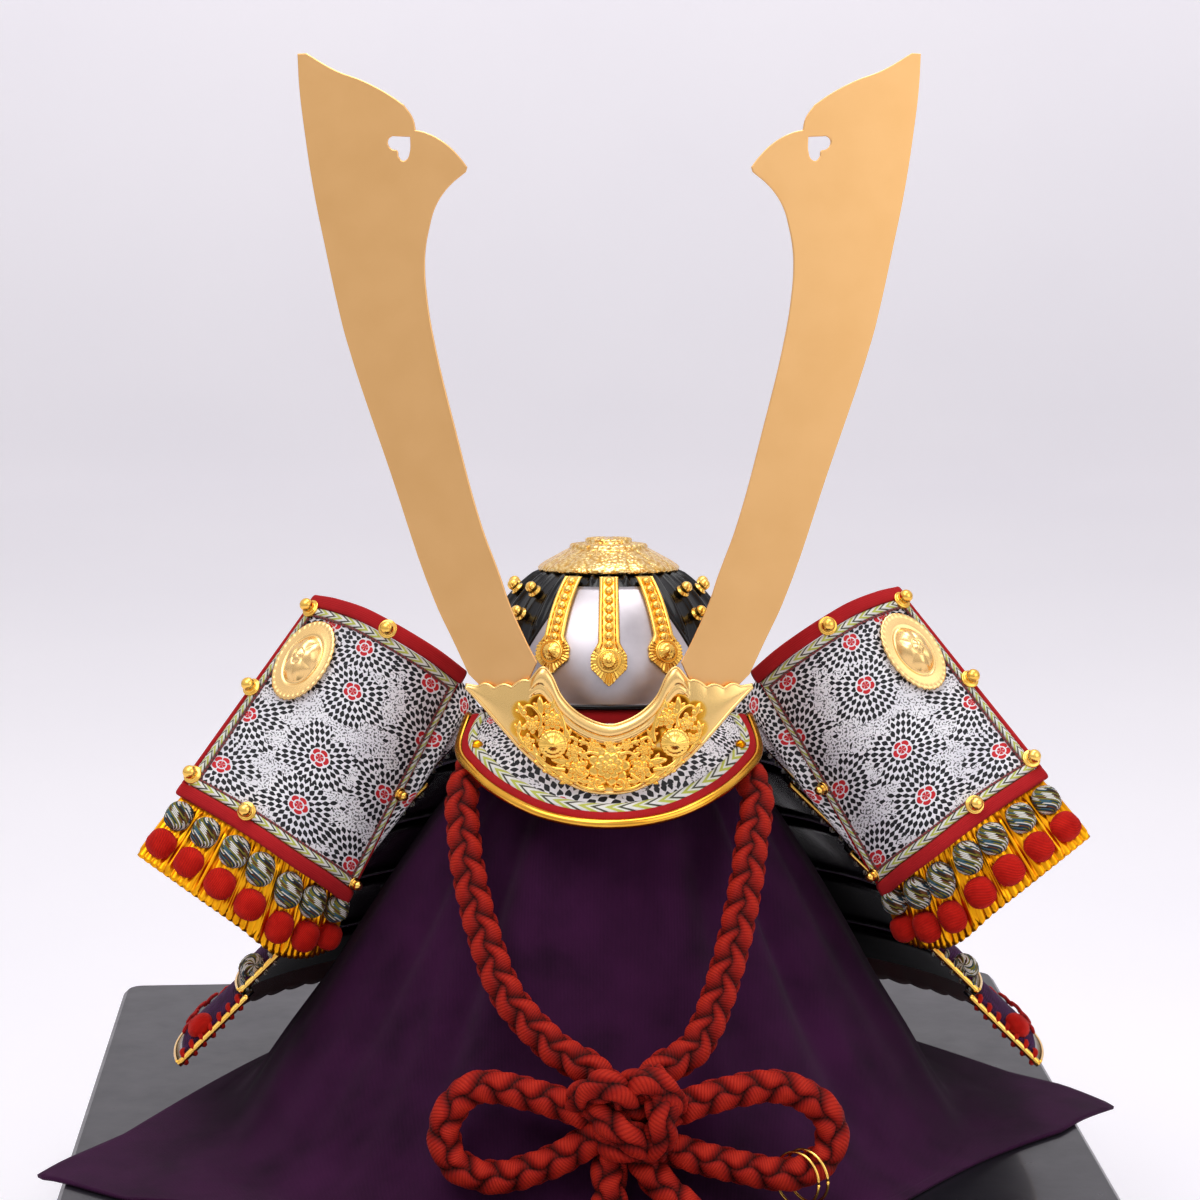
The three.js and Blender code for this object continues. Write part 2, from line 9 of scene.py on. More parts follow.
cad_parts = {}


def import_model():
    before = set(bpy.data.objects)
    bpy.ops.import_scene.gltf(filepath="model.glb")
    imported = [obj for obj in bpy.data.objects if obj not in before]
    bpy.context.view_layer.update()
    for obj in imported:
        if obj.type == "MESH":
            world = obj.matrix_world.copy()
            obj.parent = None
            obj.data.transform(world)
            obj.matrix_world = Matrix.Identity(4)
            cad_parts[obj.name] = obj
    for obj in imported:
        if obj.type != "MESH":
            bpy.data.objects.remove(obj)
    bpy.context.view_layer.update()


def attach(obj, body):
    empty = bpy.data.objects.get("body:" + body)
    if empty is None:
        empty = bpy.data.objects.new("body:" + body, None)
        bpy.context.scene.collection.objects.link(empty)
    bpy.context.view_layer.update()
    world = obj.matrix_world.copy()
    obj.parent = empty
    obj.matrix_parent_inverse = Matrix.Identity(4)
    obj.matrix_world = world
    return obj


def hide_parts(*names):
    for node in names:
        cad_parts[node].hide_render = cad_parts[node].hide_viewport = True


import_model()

scene = bpy.context.scene


def lerp(a, b, t):
    return a + (b - a) * t


def clamp(x, low=0.0, high=1.0):
    return max(low, min(high, x))


def ease(x):
    x = clamp(x)
    return x * x * (3 - 2 * x)


standTop = {"x": 6, "y": 2.5, "z": 80}  # where the helmet's millimetres start in the shared frame


def world(p):  # from millimetres over the stand's top to the shared frame
    return Vector(((p[0] + standTop["x"]) / 1000, (p[1] + standTop["y"]) / 1000, (p[2] + standTop["z"]) / 1000))


def through(rows, k=100.0):  # a smooth line through rows given as shares of the bowl's width
    pts = [Vector(r) * k for r in rows]
    line = [pts[0] * 2 - pts[1]] + pts + [pts[-1] * 2 - pts[-2]]

    def at(t):
        s = clamp(t) * (len(pts) - 1)
        i = min(len(pts) - 2, int(s))
        f = s - i
        a, b, c, d = line[i:i + 4]
        return 0.5 * (2 * b + (c - a) * f + (2 * a - 5 * b + 4 * c - d) * f * f + (3 * b - a - 3 * c + d) * f ** 3)
    return at


def spread(line, n, start=0.0, end=1.0):  # n + 1 points at even steps of real length
    raw = [line(lerp(start, end, i / 200)) for i in range(201)]
    run = [0.0]
    for a, b in zip(raw, raw[1:]):
        run.append(run[-1] + (b - a).length)
    out, j = [], 0
    for i in range(n + 1):
        want = run[-1] * i / n
        while j < 199 and run[j + 1] < want:
            j += 1
        out.append(raw[j].lerp(raw[j + 1], clamp((want - run[j]) / max(1e-9, run[j + 1] - run[j]))))
    return out


def length(points):
    return sum((b - a).length for a, b in zip(points, points[1:]))


# A patch of quads placed by at(u, v); UVs are in centimetres of the real surface.
def addPatch(bm, nu, nv, at, out=None, uv=(1.0, 1.0), ring=False, look=0, paintedShadeAt=None):
    made = bmesh.ops.create_grid(bm, x_segments=nu, y_segments=nv, size=1.0)["verts"]
    layer = bm.loops.layers.uv.verify()
    spot = {v: (v.co.x / 2 + 0.5, v.co.y / 2 + 0.5) for v in made}
    faces = list({f for v in made for f in v.link_faces})
    for f in faces:
        f.smooth = True
        f.material_index = look
        for corner in f.loops:
            u, w = spot[corner.vert]
            corner[layer].uv = (u * uv[0], w * uv[1])
    # the depth layer holds how much painted shade each vertex gets
    depth = bm.verts.layers.float.get("depth") if paintedShadeAt else None
    for v, (u, w) in spot.items():
        v.co = world(at(u, w))
        if depth:
            v[depth] = paintedShadeAt(u, w)
    if out:
        total = 0.0
        for f in faces:
            f.normal_update()
            total += f.calc_area() * f.normal.dot(out(f.calc_center_median()))
        if total < 0:
            bmesh.ops.reverse_faces(bm, faces=faces)
    if ring:
        bmesh.ops.remove_doubles(bm, verts=made, dist=3e-7)
    return made


def newMesh(withShadeLayer=False):
    bm = bmesh.new()
    bm.loops.layers.uv.new("UVMap")
    if withShadeLayer:
        bm.verts.layers.float.new("depth")
    return bm


def piece(name, bm, look, replaces=(), wall=0.0, closed=False, offset=-1.0, rim=True):
    if closed:
        edges = [e for e in bm.edges if e.is_boundary]
        if edges:
            bmesh.ops.holes_fill(bm, edges=edges, sides=0)
        bmesh.ops.recalc_face_normals(bm, faces=bm.faces[:])
    mesh = bpy.data.meshes.new(name)
    bm.to_mesh(mesh)
    bm.free()
    obj = bpy.data.objects.new(name, mesh)
    scene.collection.objects.link(obj)
    mesh.materials.append(look)
    if wall:
        solid = obj.modifiers.new("wall", "SOLIDIFY")
        solid.thickness, solid.offset, solid.use_rim = wall / 1000, offset, rim
    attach(obj, "root")
    if replaces:
        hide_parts(*replaces)
    return obj


# A tube along points in millimetres; relief(turn, run) stands proud of the radius.
def addTube(bm, points, radius, sides=10, flat=1.0, relief=None, up=None, closed=False, tips=False, look=0, uvTurn=None):
    n = len(points)
    tangents = []
    for i in range(n):
        a, b = points[max(0, i - 1)], points[min(n - 1, i + 1)]
        if closed:
            a, b = points[(i - 1) % (n - 1)], points[(i + 1) % (n - 1)]
        tangents.append((b - a).normalized())
    side = (up or Vector((0.13, 0.31, 0.94))).cross(tangents[0]).normalized()
    sides0, run = [], [0.0]
    for i in range(n):
        if up:
            side = (up.cross(tangents[i])).normalized()
        else:
            side = (side - tangents[i] * side.dot(tangents[i])).normalized()
        sides0.append(side.copy())
        if i:
            run.append(run[-1] + (points[i] - points[i - 1]).length)

    def at(u, w):
        i = min(n - 1, int(round(w * (n - 1))))
        a = 2 * pi * u
        r = radius(run[i] / run[-1]) if callable(radius) else radius
        if relief:
            r += relief(u % 1.0, run[i])
        if tips:
            e = min(run[i], run[-1] - run[i]) / max(0.01, radius if not callable(radius) else r)
            r *= sqrt(clamp(1 - (1 - min(1.0, e)) ** 2)) if e < 1 else 1
        across = sides0[i]
        high = tangents[i].cross(across)
        return points[i] + across * (r * cos(a)) + high * (r * flat * sin(a))
    wide = uvTurn if uvTurn else 1.0
    return addPatch(bm, sides, n - 1, at, uv=(wide, run[-1] / 10), ring=True, look=look)


def turnedOn(bm, profile, sides, centre, axis, look=0, lobes=None, uv=(1.0, 1.0), up=Vector((0, 0, 1)), oval=1.0):
    axis = axis.normalized()
    across = up.cross(axis).normalized() if abs(axis.dot(up)) < 0.98 else Vector((1, 0, 0))
    high = axis.cross(across)

    def at(u, w):
        k = w * (len(profile) - 1)
        i = min(len(profile) - 2, int(k + 1e-6))
        f = k - i
        r, h = lerp(profile[i][0], profile[i + 1][0], f), lerp(profile[i][1], profile[i + 1][1], f)
        a = 2 * pi * u
        if lobes:
            r, h = lobes(r, h, a)
        return centre + across * (r * cos(a) * oval) + high * (r * sin(a)) + axis * h
    return addPatch(bm, sides, len(profile) - 1, at, ring=True, look=look, uv=uv)


# finishes
def hexColour(code):
    parts = [int(code[i:i + 2], 16) / 255 for i in (0, 2, 4)]
    return tuple(c / 12.92 if c <= 0.04045 else ((c + 0.055) / 1.055) ** 2.4 for c in parts) + (1.0,)


def addNode(tree, kind, *inputs, stops=None, **settings):  # a maths operation goes by its own name, such as MULTIPLY
    if kind.isupper():
        kind, settings = "Math", {"operation": kind}
    node = tree.nodes.new("ShaderNode" + kind)
    for key, value in settings.items():
        setattr(node, key, value)
    for key, value in (inputs[0] if inputs and isinstance(inputs[0], dict) else dict(enumerate(inputs))).items():
        socket = node.inputs[key]
        if isinstance(value, bpy.types.Node):
            value = value.outputs[0]
        if isinstance(value, bpy.types.NodeSocket):
            tree.links.new(value, socket)
        else:
            socket.default_value = value
    if stops:
        ramp = node.color_ramp
        while len(ramp.elements) < len(stops):
            ramp.elements.new(1.0)
        for element, (place, code) in zip(ramp.elements, stops):
            element.position = place
            element.color = hexColour(code)
    return node


def blank(name):
    material = bpy.data.materials.new(name)
    material.use_nodes = True
    tree = material.node_tree
    shader = next(n for n in tree.nodes if n.type == "BSDF_PRINCIPLED")
    return material, tree, shader


def surface(tree, scale, detail=3.0, where="Object", rough=0.5):
    place = addNode(tree, "TexCoord")
    return addNode(tree, "TexNoise", {"Vector": place.outputs[where], "Scale": scale, "Detail": detail,
        "Roughness": rough}).outputs["Fac"]


def bumped(tree, shader, height, strength, distance):
    bump = addNode(tree, "Bump", {"Height": height, "Strength": strength, "Distance": distance})
    tree.links.new(bump.outputs["Normal"], shader.inputs["Normal"])


# Gold plate over brass: clear bright colour, faint smears in the polish, and painted shade where it is recessed: in the
# chased pits and on the relief's ground beside its ornament.
def goldPlate(name, pale, deep, roughness, grit=0.0, gritSize=0.0008, depth=False):
    material, tree, shader = blank(name)
    smear = surface(tree, 60, 5)
    shader.inputs["Metallic"].default_value = 1.0
    tone = addNode(tree, "ValToRGB", {"Fac": smear}, stops=[(0.3, deep), (0.62, pale)]).outputs["Color"]
    if grit:
        place = addNode(tree, "TexCoord").outputs["Object"]
        cells = addNode(tree, "TexVoronoi", {"Vector": place, "Scale": 1 / gritSize}, feature="SMOOTH_F1")
        pit = cells.outputs["Distance"]
        # painted shade: the colour deepens towards the low edges of the chased pits
        tone = addNode(tree, "ValToRGB", {"Fac": pit}, stops=[(0.18, pale), (0.62, deep)]).outputs["Color"]
        bumped(tree, shader, addNode(tree, "MULTIPLY", pit, -1.0), grit, 0.0006)
    else:
        bumped(tree, shader, surface(tree, 900, 2), 0.04, 0.0002)
    # painted shade: the ground turns a darker, browner gold where the relief's ornament covers it
    if depth:
        low = addNode(tree, "Attribute", attribute_name="depth").outputs["Fac"]
        tone = addNode(tree, "ValToRGB", {"Fac": low}, stops=[(0.0, pale), (0.3, "F7BE4C"), (0.6, "E59E26"),
            (1.0, "8A4A08")]).outputs["Color"]
    tree.links.new(tone, shader.inputs["Base Color"])
    tree.links.new(addNode(tree, "MapRange", {"Value": smear, "To Min": roughness * 0.92,
        "To Max": roughness * 1.1}).outputs["Result"], shader.inputs["Roughness"])
    return material


# Woven cloth in one colour: threads show as a fine grid with painted shade between them, dull, with a soft sheen along
# edges.
def woven(name, light, dark, thread, sheen=0.3, roughness=0.85, where="UV", perUnit=10.0, crepe=0.0):
    material, tree, shader = blank(name)
    place = addNode(tree, "TexCoord").outputs[where]
    parts = addNode(tree, "SeparateXYZ", {"Vector": place})
    turns = perUnit / thread * pi
    warp = addNode(tree, "ABSOLUTE", addNode(tree, "SINE", addNode(tree, "MULTIPLY", parts.outputs["X"], turns)))
    weft = addNode(tree, "ABSOLUTE", addNode(tree, "SINE", addNode(tree, "MULTIPLY", parts.outputs["Y"], turns)))
    grid = addNode(tree, "MULTIPLY", warp, weft)
    mottle = surface(tree, 45, 5)
    height = addNode(tree, "ADD", grid, addNode(tree, "MULTIPLY", surface(tree, 1500, 2), crepe))
    # painted shade: the grid is darker between the threads; the mottle is the cloth's own uneven tone
    tone = addNode(tree, "ValToRGB", {"Fac": addNode(tree, "ADD", addNode(tree, "MULTIPLY", grid, 0.35),
        addNode(tree, "MULTIPLY", mottle, 0.65))}, stops=[(0.2, dark), (0.6, light)])
    tree.links.new(tone.outputs["Color"], shader.inputs["Base Color"])
    shader.inputs["Roughness"].default_value = roughness
    shader.inputs["Sheen Weight"].default_value = sheen
    shader.inputs["Sheen Roughness"].default_value = 0.45
    shader.inputs["Specular IOR Level"].default_value = 0.1
    bumped(tree, shader, height, 0.35, 0.0003)
    return material


# Moulded or wooden faces under black lacquer: mirror dark, a faint wave in the coat, dust in the low places.
def lacquer(name, tone, roughness, coat):
    material, tree, shader = blank(name)
    dust = surface(tree, 70, 6)
    tree.links.new(addNode(tree, "ValToRGB", {"Fac": dust}, stops=[(0.45, tone), (0.95, "1A191D")]).outputs["Color"],
        shader.inputs["Base Color"])
    tree.links.new(addNode(tree, "MapRange", {"Value": dust, "To Min": roughness * 0.7,
        "To Max": roughness * 1.5}).outputs["Result"], shader.inputs["Roughness"])
    shader.inputs["Coat Weight"].default_value = coat
    shader.inputs["Specular IOR Level"].default_value = 0.22
    shader.inputs["Coat Roughness"].default_value = 0.08
    bumped(tree, shader, surface(tree, 260, 2), 0.06, 0.0004)
    return material


# White leather printed in black and red: radiating black petals round six-petalled red florets, fine dashes between.
def printedLeather():
    # print sizes in centimetres
    inks = {"cell": 2.9, "floret": 0.4, "reach": 1.5, "ring": 0.33, "petal": 0.235, "dashRing": 0.16, "dash": 0.2}
    material, tree, shader = blank("leather, printed and matt")
    uv = addNode(tree, "TexCoord").outputs["UV"]

    def polar(shift, size, randomness):
        moved = addNode(tree, "VectorMath", {0: uv, 1: shift}, operation="ADD").outputs[0]
        cells = addNode(tree, "TexVoronoi", {"Vector": moved, "Scale": 1 / size, "Randomness": randomness},
            voronoi_dimensions="2D")
        local = addNode(tree, "VectorMath", {0: moved, 1: cells.outputs["Position"]}, operation="SUBTRACT").outputs[0]
        r = addNode(tree, "VectorMath", {0: local}, operation="LENGTH").outputs["Value"]
        xy = addNode(tree, "SeparateXYZ", {"Vector": local})
        return r, addNode(tree, "ARCTAN2", xy.outputs["Y"], xy.outputs["X"]), cells

    def petalRings(r, angle, ring, wide, halfAcross, halfAlong):  # rings of even petals, each ring with more of them
        step = addNode(tree, "DIVIDE", r, ring)
        row = addNode(tree, "FLOOR", step)
        count = addNode(tree, "ROUND", addNode(tree, "MULTIPLY", addNode(tree, "ADD", row, 0.5), 2 * pi * ring / wide))
        turn = addNode(tree, "ADD", addNode(tree, "MULTIPLY", addNode(tree, "MULTIPLY", angle, 1 / (2 * pi)), count),
            addNode(tree, "MULTIPLY", row, 0.5))
        across = addNode(tree, "DIVIDE", addNode(tree, "ABSOLUTE", addNode(tree, "SUBTRACT", addNode(tree, "FRACT", turn),
            0.5)), halfAcross)
        along = addNode(tree, "DIVIDE", addNode(tree, "ABSOLUTE", addNode(tree, "SUBTRACT", addNode(tree, "FRACT", step),
            0.5)), halfAlong)
        return addNode(tree, "ADD", addNode(tree, "POWER", across, 1.25), addNode(tree, "POWER", along, 1.25))

    r, angle, cells = polar((0.0, 0.0, 0.0), inks["cell"], 0.42)
    wobble = addNode(tree, "TexNoise", {"Vector": uv, "Scale": 1.3, "Detail": 1.0}).outputs["Fac"]
    ragged = addNode(tree, "TexNoise", {"Vector": uv, "Scale": 5.0, "Detail": 1.0}).outputs["Fac"]
    limit = addNode(tree, "MULTIPLY", wobble, 2 * inks["reach"])
    near = addNode(tree, "LESS_THAN", r, limit)
    away = addNode(tree, "GREATER_THAN", r, inks["floret"] * 1.12)
    petal = addNode(tree, "LESS_THAN", petalRings(r, angle, inks["ring"], inks["petal"], 0.44, 0.49), addNode(tree, "ADD",
        ragged, 0.5))
    black = addNode(tree, "MULTIPLY", petal, addNode(tree, "MULTIPLY", near, away))
    r2, angle2, _ = polar((1.7, 0.9, 0.0), 1.7, 0.8)
    bend = addNode(tree, "ADD", r2, addNode(tree, "MULTIPLY", ragged, 0.5))
    dash = addNode(tree, "LESS_THAN", petalRings(bend, angle2, inks["dashRing"], inks["dash"], 0.42, 0.24), addNode(tree,
        "MULTIPLY", ragged, 2.0))
    far = addNode(tree, "GREATER_THAN", r, limit)
    faint = addNode(tree, "MULTIPLY", addNode(tree, "MULTIPLY", dash, far), 0.85)
    dark = addNode(tree, "MAXIMUM", black, faint)
    lobe = addNode(tree, "ABSOLUTE", addNode(tree, "SINE", addNode(tree, "MULTIPLY", angle, 2.5)))
    outer = addNode(tree, "MULTIPLY", addNode(tree, "ADD", addNode(tree, "MULTIPLY", lobe, 0.22), 0.78), inks["floret"])
    red = addNode(tree, "MULTIPLY", addNode(tree, "LESS_THAN", r, outer), addNode(tree, "GREATER_THAN", lobe, 0.2))
    core = addNode(tree, "GREATER_THAN", addNode(tree, "ABSOLUTE", addNode(tree, "SUBTRACT", r, inks["floret"] * 0.5)), 0.03)
    red = addNode(tree, "MULTIPLY", red, core)
    chance = addNode(tree, "SeparateXYZ", {"Vector": cells.outputs["Color"]}).outputs["X"]
    red = addNode(tree, "MULTIPLY", red, addNode(tree, "GREATER_THAN", chance, 0.04))
    ground = addNode(tree, "ValToRGB", {"Fac": surface(tree, 60, 4)}, stops=[(0.3, "E6E3EA"), (0.7, "FAF8FB")])
    inked = addNode(tree, "MixRGB", {"Fac": dark, "Color1": ground.outputs["Color"], "Color2": hexColour("100F14")})
    full = addNode(tree, "MixRGB", {"Fac": red, "Color1": inked.outputs["Color"], "Color2": hexColour("D01F28")})
    tree.links.new(full.outputs["Color"], shader.inputs["Base Color"])
    shader.inputs["Roughness"].default_value = 0.62
    shader.inputs["Specular IOR Level"].default_value = 0.35
    grain = addNode(tree, "TexVoronoi", {"Vector": uv, "Scale": 22.0}, voronoi_dimensions="2D").outputs["Distance"]
    bumped(tree, shader, grain, 0.10, 0.0002)
    return material


# Flat plaited braid in white, yellow-green and black: chevrons meet on its middle line.
def plaited(name, bands, pitch, thread):
    material, tree, shader = blank(name)
    uv = addNode(tree, "SeparateXYZ", {"Vector": addNode(tree, "TexCoord").outputs["UV"]})
    fold = addNode(tree, "ABSOLUTE", addNode(tree, "SUBTRACT", addNode(tree, "MULTIPLY", uv.outputs["X"], 2.0), 1.0))
    run = addNode(tree, "DIVIDE", uv.outputs["Y"], pitch / 10)
    phase = addNode(tree, "FRACT", addNode(tree, "SUBTRACT", run, addNode(tree, "MULTIPLY", fold, 0.62)))
    tone = addNode(tree, "ValToRGB", {"Fac": phase}, stops=bands)
    tone.color_ramp.interpolation = "CONSTANT"
    lines = addNode(tree, "SINE", addNode(tree, "MULTIPLY", phase, 2 * pi * thread))
    dull = addNode(tree, "MixRGB", {"Fac": addNode(tree, "MULTIPLY", surface(tree, 800, 2), 0.25),
        "Color1": tone.outputs["Color"], "Color2": hexColour("8A8478")})
    tree.links.new(dull.outputs["Color"], shader.inputs["Base Color"])
    shader.inputs["Roughness"].default_value = 0.7
    shader.inputs["Sheen Weight"].default_value = 0.05
    rope = addNode(tree, "ABSOLUTE", addNode(tree, "SINE", addNode(tree, "MULTIPLY", phase, pi)))
    bumped(tree, shader, addNode(tree, "ADD", addNode(tree, "MULTIPLY", lines, 0.15), rope), 0.6, 0.0007)
    return material


# Thread wound or laid in hanks: fine parallel lines of painted shade between threads, silk or wool sheen, each strand
# its own dye.
def wound(name, stops, lines, slant, sheen=0.06, band=True):
    material, tree, shader = blank(name)
    uv = addNode(tree, "SeparateXYZ", {"Vector": addNode(tree, "TexCoord").outputs["UV"]})
    phase = addNode(tree, "ADD", uv.outputs["X"], addNode(tree, "MULTIPLY", uv.outputs["Y"], slant))
    strand = addNode(tree, "MULTIPLY", phase, lines)
    which = addNode(tree, "FLOOR", strand)
    dash = addNode(tree, "FLOOR", addNode(tree, "ADD", addNode(tree, "MULTIPLY", uv.outputs["Y"], 4.6), addNode(tree,
        "MULTIPLY", which, 0.61)))
    place = addNode(tree, "CombineXYZ", {0: which, 1: dash})
    dyed = addNode(tree, "TexWhiteNoise", {"Vector": place.outputs[0]}).outputs["Value"]
    tone = addNode(tree, "ValToRGB", {"Fac": dyed if band else surface(tree, 220, 3)}, stops=stops)
    if band:
        tone.color_ramp.interpolation = "CONSTANT"
    thread = addNode(tree, "SINE", addNode(tree, "MULTIPLY", addNode(tree, "FRACT", strand), pi))
    # painted shade: colour darkens between neighbouring threads
    grooveShade = addNode(tree, "MixRGB", {"Fac": addNode(tree, "MULTIPLY", addNode(tree, "POWER", addNode(tree, "SUBTRACT",
        1.0, thread), 1.5), 0.8),
        "Color1": tone.outputs["Color"], "Color2": hexColour("14100F") if band else hexColour("3A0505")})
    tree.links.new(grooveShade.outputs["Color"], shader.inputs["Base Color"])
    shader.inputs["Roughness"].default_value = 0.72
    shader.inputs["Specular IOR Level"].default_value = 0.12
    shader.inputs["Sheen Weight"].default_value = sheen
    shader.inputs["Sheen Roughness"].default_value = 0.4
    fuzz = addNode(tree, "MULTIPLY", surface(tree, 2500, 2), 0.4)
    bumped(tree, shader, addNode(tree, "ADD", thread, fuzz), 0.55, 0.0004)
    return material


# Four fat strands of red silk plaited round: each strand a rib of fine threads, with painted shade where ribs meet.
chinBraid = {"pitch": 11.6, "slant": 0.2, "deep": 2.6, "radius": 6.4, "sway": 0.13}


def braidedSilk():
    material, tree, shader = blank("silk cord, plaited")
    uv = addNode(tree, "SeparateXYZ", {"Vector": addNode(tree, "TexCoord").outputs["UV"]})
    sway = addNode(tree, "MULTIPLY", addNode(tree, "SINE", addNode(tree, "MULTIPLY", uv.outputs["Y"],
        20 * pi / chinBraid["pitch"])), chinBraid["sway"])
    turn = addNode(tree, "ADD", addNode(tree, "MULTIPLY", uv.outputs["X"], 4.0), sway)
    local = addNode(tree, "SUBTRACT", addNode(tree, "MULTIPLY", addNode(tree, "FRACT", turn), 2.0), 1.0)
    way = addNode(tree, "SIGN", addNode(tree, "SINE", addNode(tree, "MULTIPLY", turn, pi)))
    skew = addNode(tree, "MULTIPLY", local, way)
    phase = addNode(tree, "ADD", addNode(tree, "MULTIPLY", uv.outputs["Y"], 10 / chinBraid["pitch"]),
        addNode(tree, "ADD", addNode(tree, "MULTIPLY", skew, chinBraid["slant"]), addNode(tree, "MULTIPLY", way, 0.25)))
    rib = addNode(tree, "ABSOLUTE", addNode(tree, "SINE", addNode(tree, "MULTIPLY", phase, pi)))
    middle = addNode(tree, "SUBTRACT", 1.0, addNode(tree, "POWER", addNode(tree, "ABSOLUTE", local), 4.0))
    across = addNode(tree, "SUBTRACT", addNode(tree, "MULTIPLY", uv.outputs["Y"], 10 / 1.15), addNode(tree, "MULTIPLY",
        skew, 1.5))
    thread = addNode(tree, "ABSOLUTE", addNode(tree, "SINE", addNode(tree, "MULTIPLY", across, pi)))
    plump = addNode(tree, "MULTIPLY", addNode(tree, "POWER", rib, 0.6), addNode(tree, "POWER", middle, 0.5))
    shade = addNode(tree, "ADD", addNode(tree, "MULTIPLY", plump, 0.84), addNode(tree, "MULTIPLY", thread, 0.16))
    # painted shade: near black down in the grooves where ribs meet, bright red on the rib tops
    tone = addNode(tree, "ValToRGB", {"Fac": shade}, stops=[(0.12, "1A0202"), (0.5, "6A0E08"), (0.8, "9C1A10"),
        (1.0, "BC2A18")])
    tree.links.new(tone.outputs["Color"], shader.inputs["Base Color"])
    shader.inputs["Roughness"].default_value = 0.6
    shader.inputs["Specular IOR Level"].default_value = 0.1
    shader.inputs["Sheen Weight"].default_value = 0.02
    bumped(tree, shader, addNode(tree, "ADD", thread, addNode(tree, "MULTIPLY", surface(tree, 2600, 2), 0.4)), 0.5, 0.0004)
    return material


print("finishes")
brightGold = goldPlate("brass, gold plated and polished", "FFD06A", "F4BC50", 0.2)
reliefGoldShaded = goldPlate("brass, gold plated relief with painted shade", "F7CE84", "F0C578", 0.24, depth=True)
grainGold = goldPlate("brass, gold plated and chased", "FFE2A0", "DDA850", 0.24, grit=0.55, gritSize=0.0012)
rimGold = goldPlate("brass, gold plated roll", "EDB045", "DB9A2E", 0.16)
satinGold = goldPlate("brass, satin gold sheet", "EDBB7C", "EAB777", 0.36)
paleGold = goldPlate("brass, matt pale gold plate", "F6CF8E", "F0C782", 0.26)
scaleGold = goldPlate("leaf gold over ribbed scales", "FFB21A", "E08E0A", 0.28)
blackLacquer = lacquer("lacquer, polished black", "050507", 0.2, 0.05)
standLacquer = lacquer("lacquered box, satin black", "1C1A20", 0.3, 0.25)
leather = printedLeather()
redCloth = woven("plain weave cotton, red", "C2262A", "9C181E", 0.45, sheen=0.03)
darkRed = woven("plain weave cotton, dark red", "7E1418", "4E0B10", 0.45)
purpleCrepe = woven("crepe, deep purple", "41163D", "1A071A", 0.5, sheen=0.04, crepe=0.8)
greenBraid = plaited("flat braid, white green and black", [(0.0, "0C0C09"), (0.13, "FAFAF4"), (0.46, "C9D04E"), (0.74,
    "F4F5EA"),
    (0.93, "5C6420")], 6.2, 5)
redBraid = plaited("piping, dark red and black", [(0.0, "15100F"), (0.3, "7C1620"), (0.75, "A32530")], 1.6, 3)
cordSilk = braidedSilk()
redWool = wound("wool thread, bright red", [(0.25, "C9140B"), (0.75, "EC2617")], 30, 0.5, sheen=0.04, band=False)
mixedThread = wound("silk thread, mixed colours", [(0.0, "EFEBE2"), (0.24, "27475A"), (0.42, "8E8634"), (0.56, "F4F1EA"),
    (0.70, "3C2A1E"),
    (0.80, "4F7484"), (0.90, "7A4A2C")], 30, 0.5)
purpleLace = wound("flat lacing, dark purple", [(0.3, "2E1238"), (0.7, "4C2358")], 4, 3.0, sheen=0.05, band=False)
lilacLace = wound("flat lacing, lilac", [(0.3, "9C84B4"), (0.7, "C0A9D2")], 4, 3.0, sheen=0.05, band=False)
whiteLace = wound("flat lacing, white", [(0.3, "D8D2D8"), (0.7, "F3F0F2")], 4, 3.0, sheen=0.05, band=False)
redLace = wound("flat lacing, red", [(0.3, "A8161A"), (0.7, "D62A26")], 4, 3.0, sheen=0.05, band=False)

silver, tree, shader = blank("steel sheet, satin silver plate")  # soft wide reflections with a faint cloudy rub
shader.inputs["Metallic"].default_value = 1.0
cloud = surface(tree, 55, 5)
tree.links.new(addNode(tree, "ValToRGB", {"Fac": cloud}, stops=[(0.3, "A59FA3"), (0.7, "C3BDC2")]).outputs["Color"],
    shader.inputs["Base Color"])
tree.links.new(addNode(tree, "MapRange", {"Value": cloud, "To Min": 0.36, "To Max": 0.44}).outputs["Result"],
    shader.inputs["Roughness"])
bumped(tree, shader, surface(tree, 1800, 2), 0.03, 0.0002)

plainWood, tree, shader = blank("pine, planed and sealed")  # pale long grain
stretch = addNode(tree, "VectorMath", {0: addNode(tree, "TexCoord").outputs["Object"], 1: (60.0, 60.0, 6.0)},
    operation="MULTIPLY").outputs[0]
grain = addNode(tree, "TexNoise", {"Vector": stretch, "Scale": 2.0, "Detail": 6.0}).outputs["Fac"]
tree.links.new(addNode(tree, "ValToRGB", {"Fac": grain}, stops=[(0.35, "A97F4E"), (0.65, "CDA673")]).outputs["Color"],
    shader.inputs["Base Color"])
shader.inputs["Roughness"].default_value = 0.55
bumped(tree, shader, grain, 0.1, 0.0003)

# camera, lights and floor
lens = bpy.data.cameras.new("view")
lens.lens, lens.sensor_width = 90, 36
eye = bpy.data.objects.new("view", lens)
eye.location, eye.rotation_euler = (0.0026, -1.1545, 0.510), (radians(79.112), 0, 0)
scene.collection.objects.link(eye)
scene.camera = eye
scene.view_settings.view_transform = "Standard"

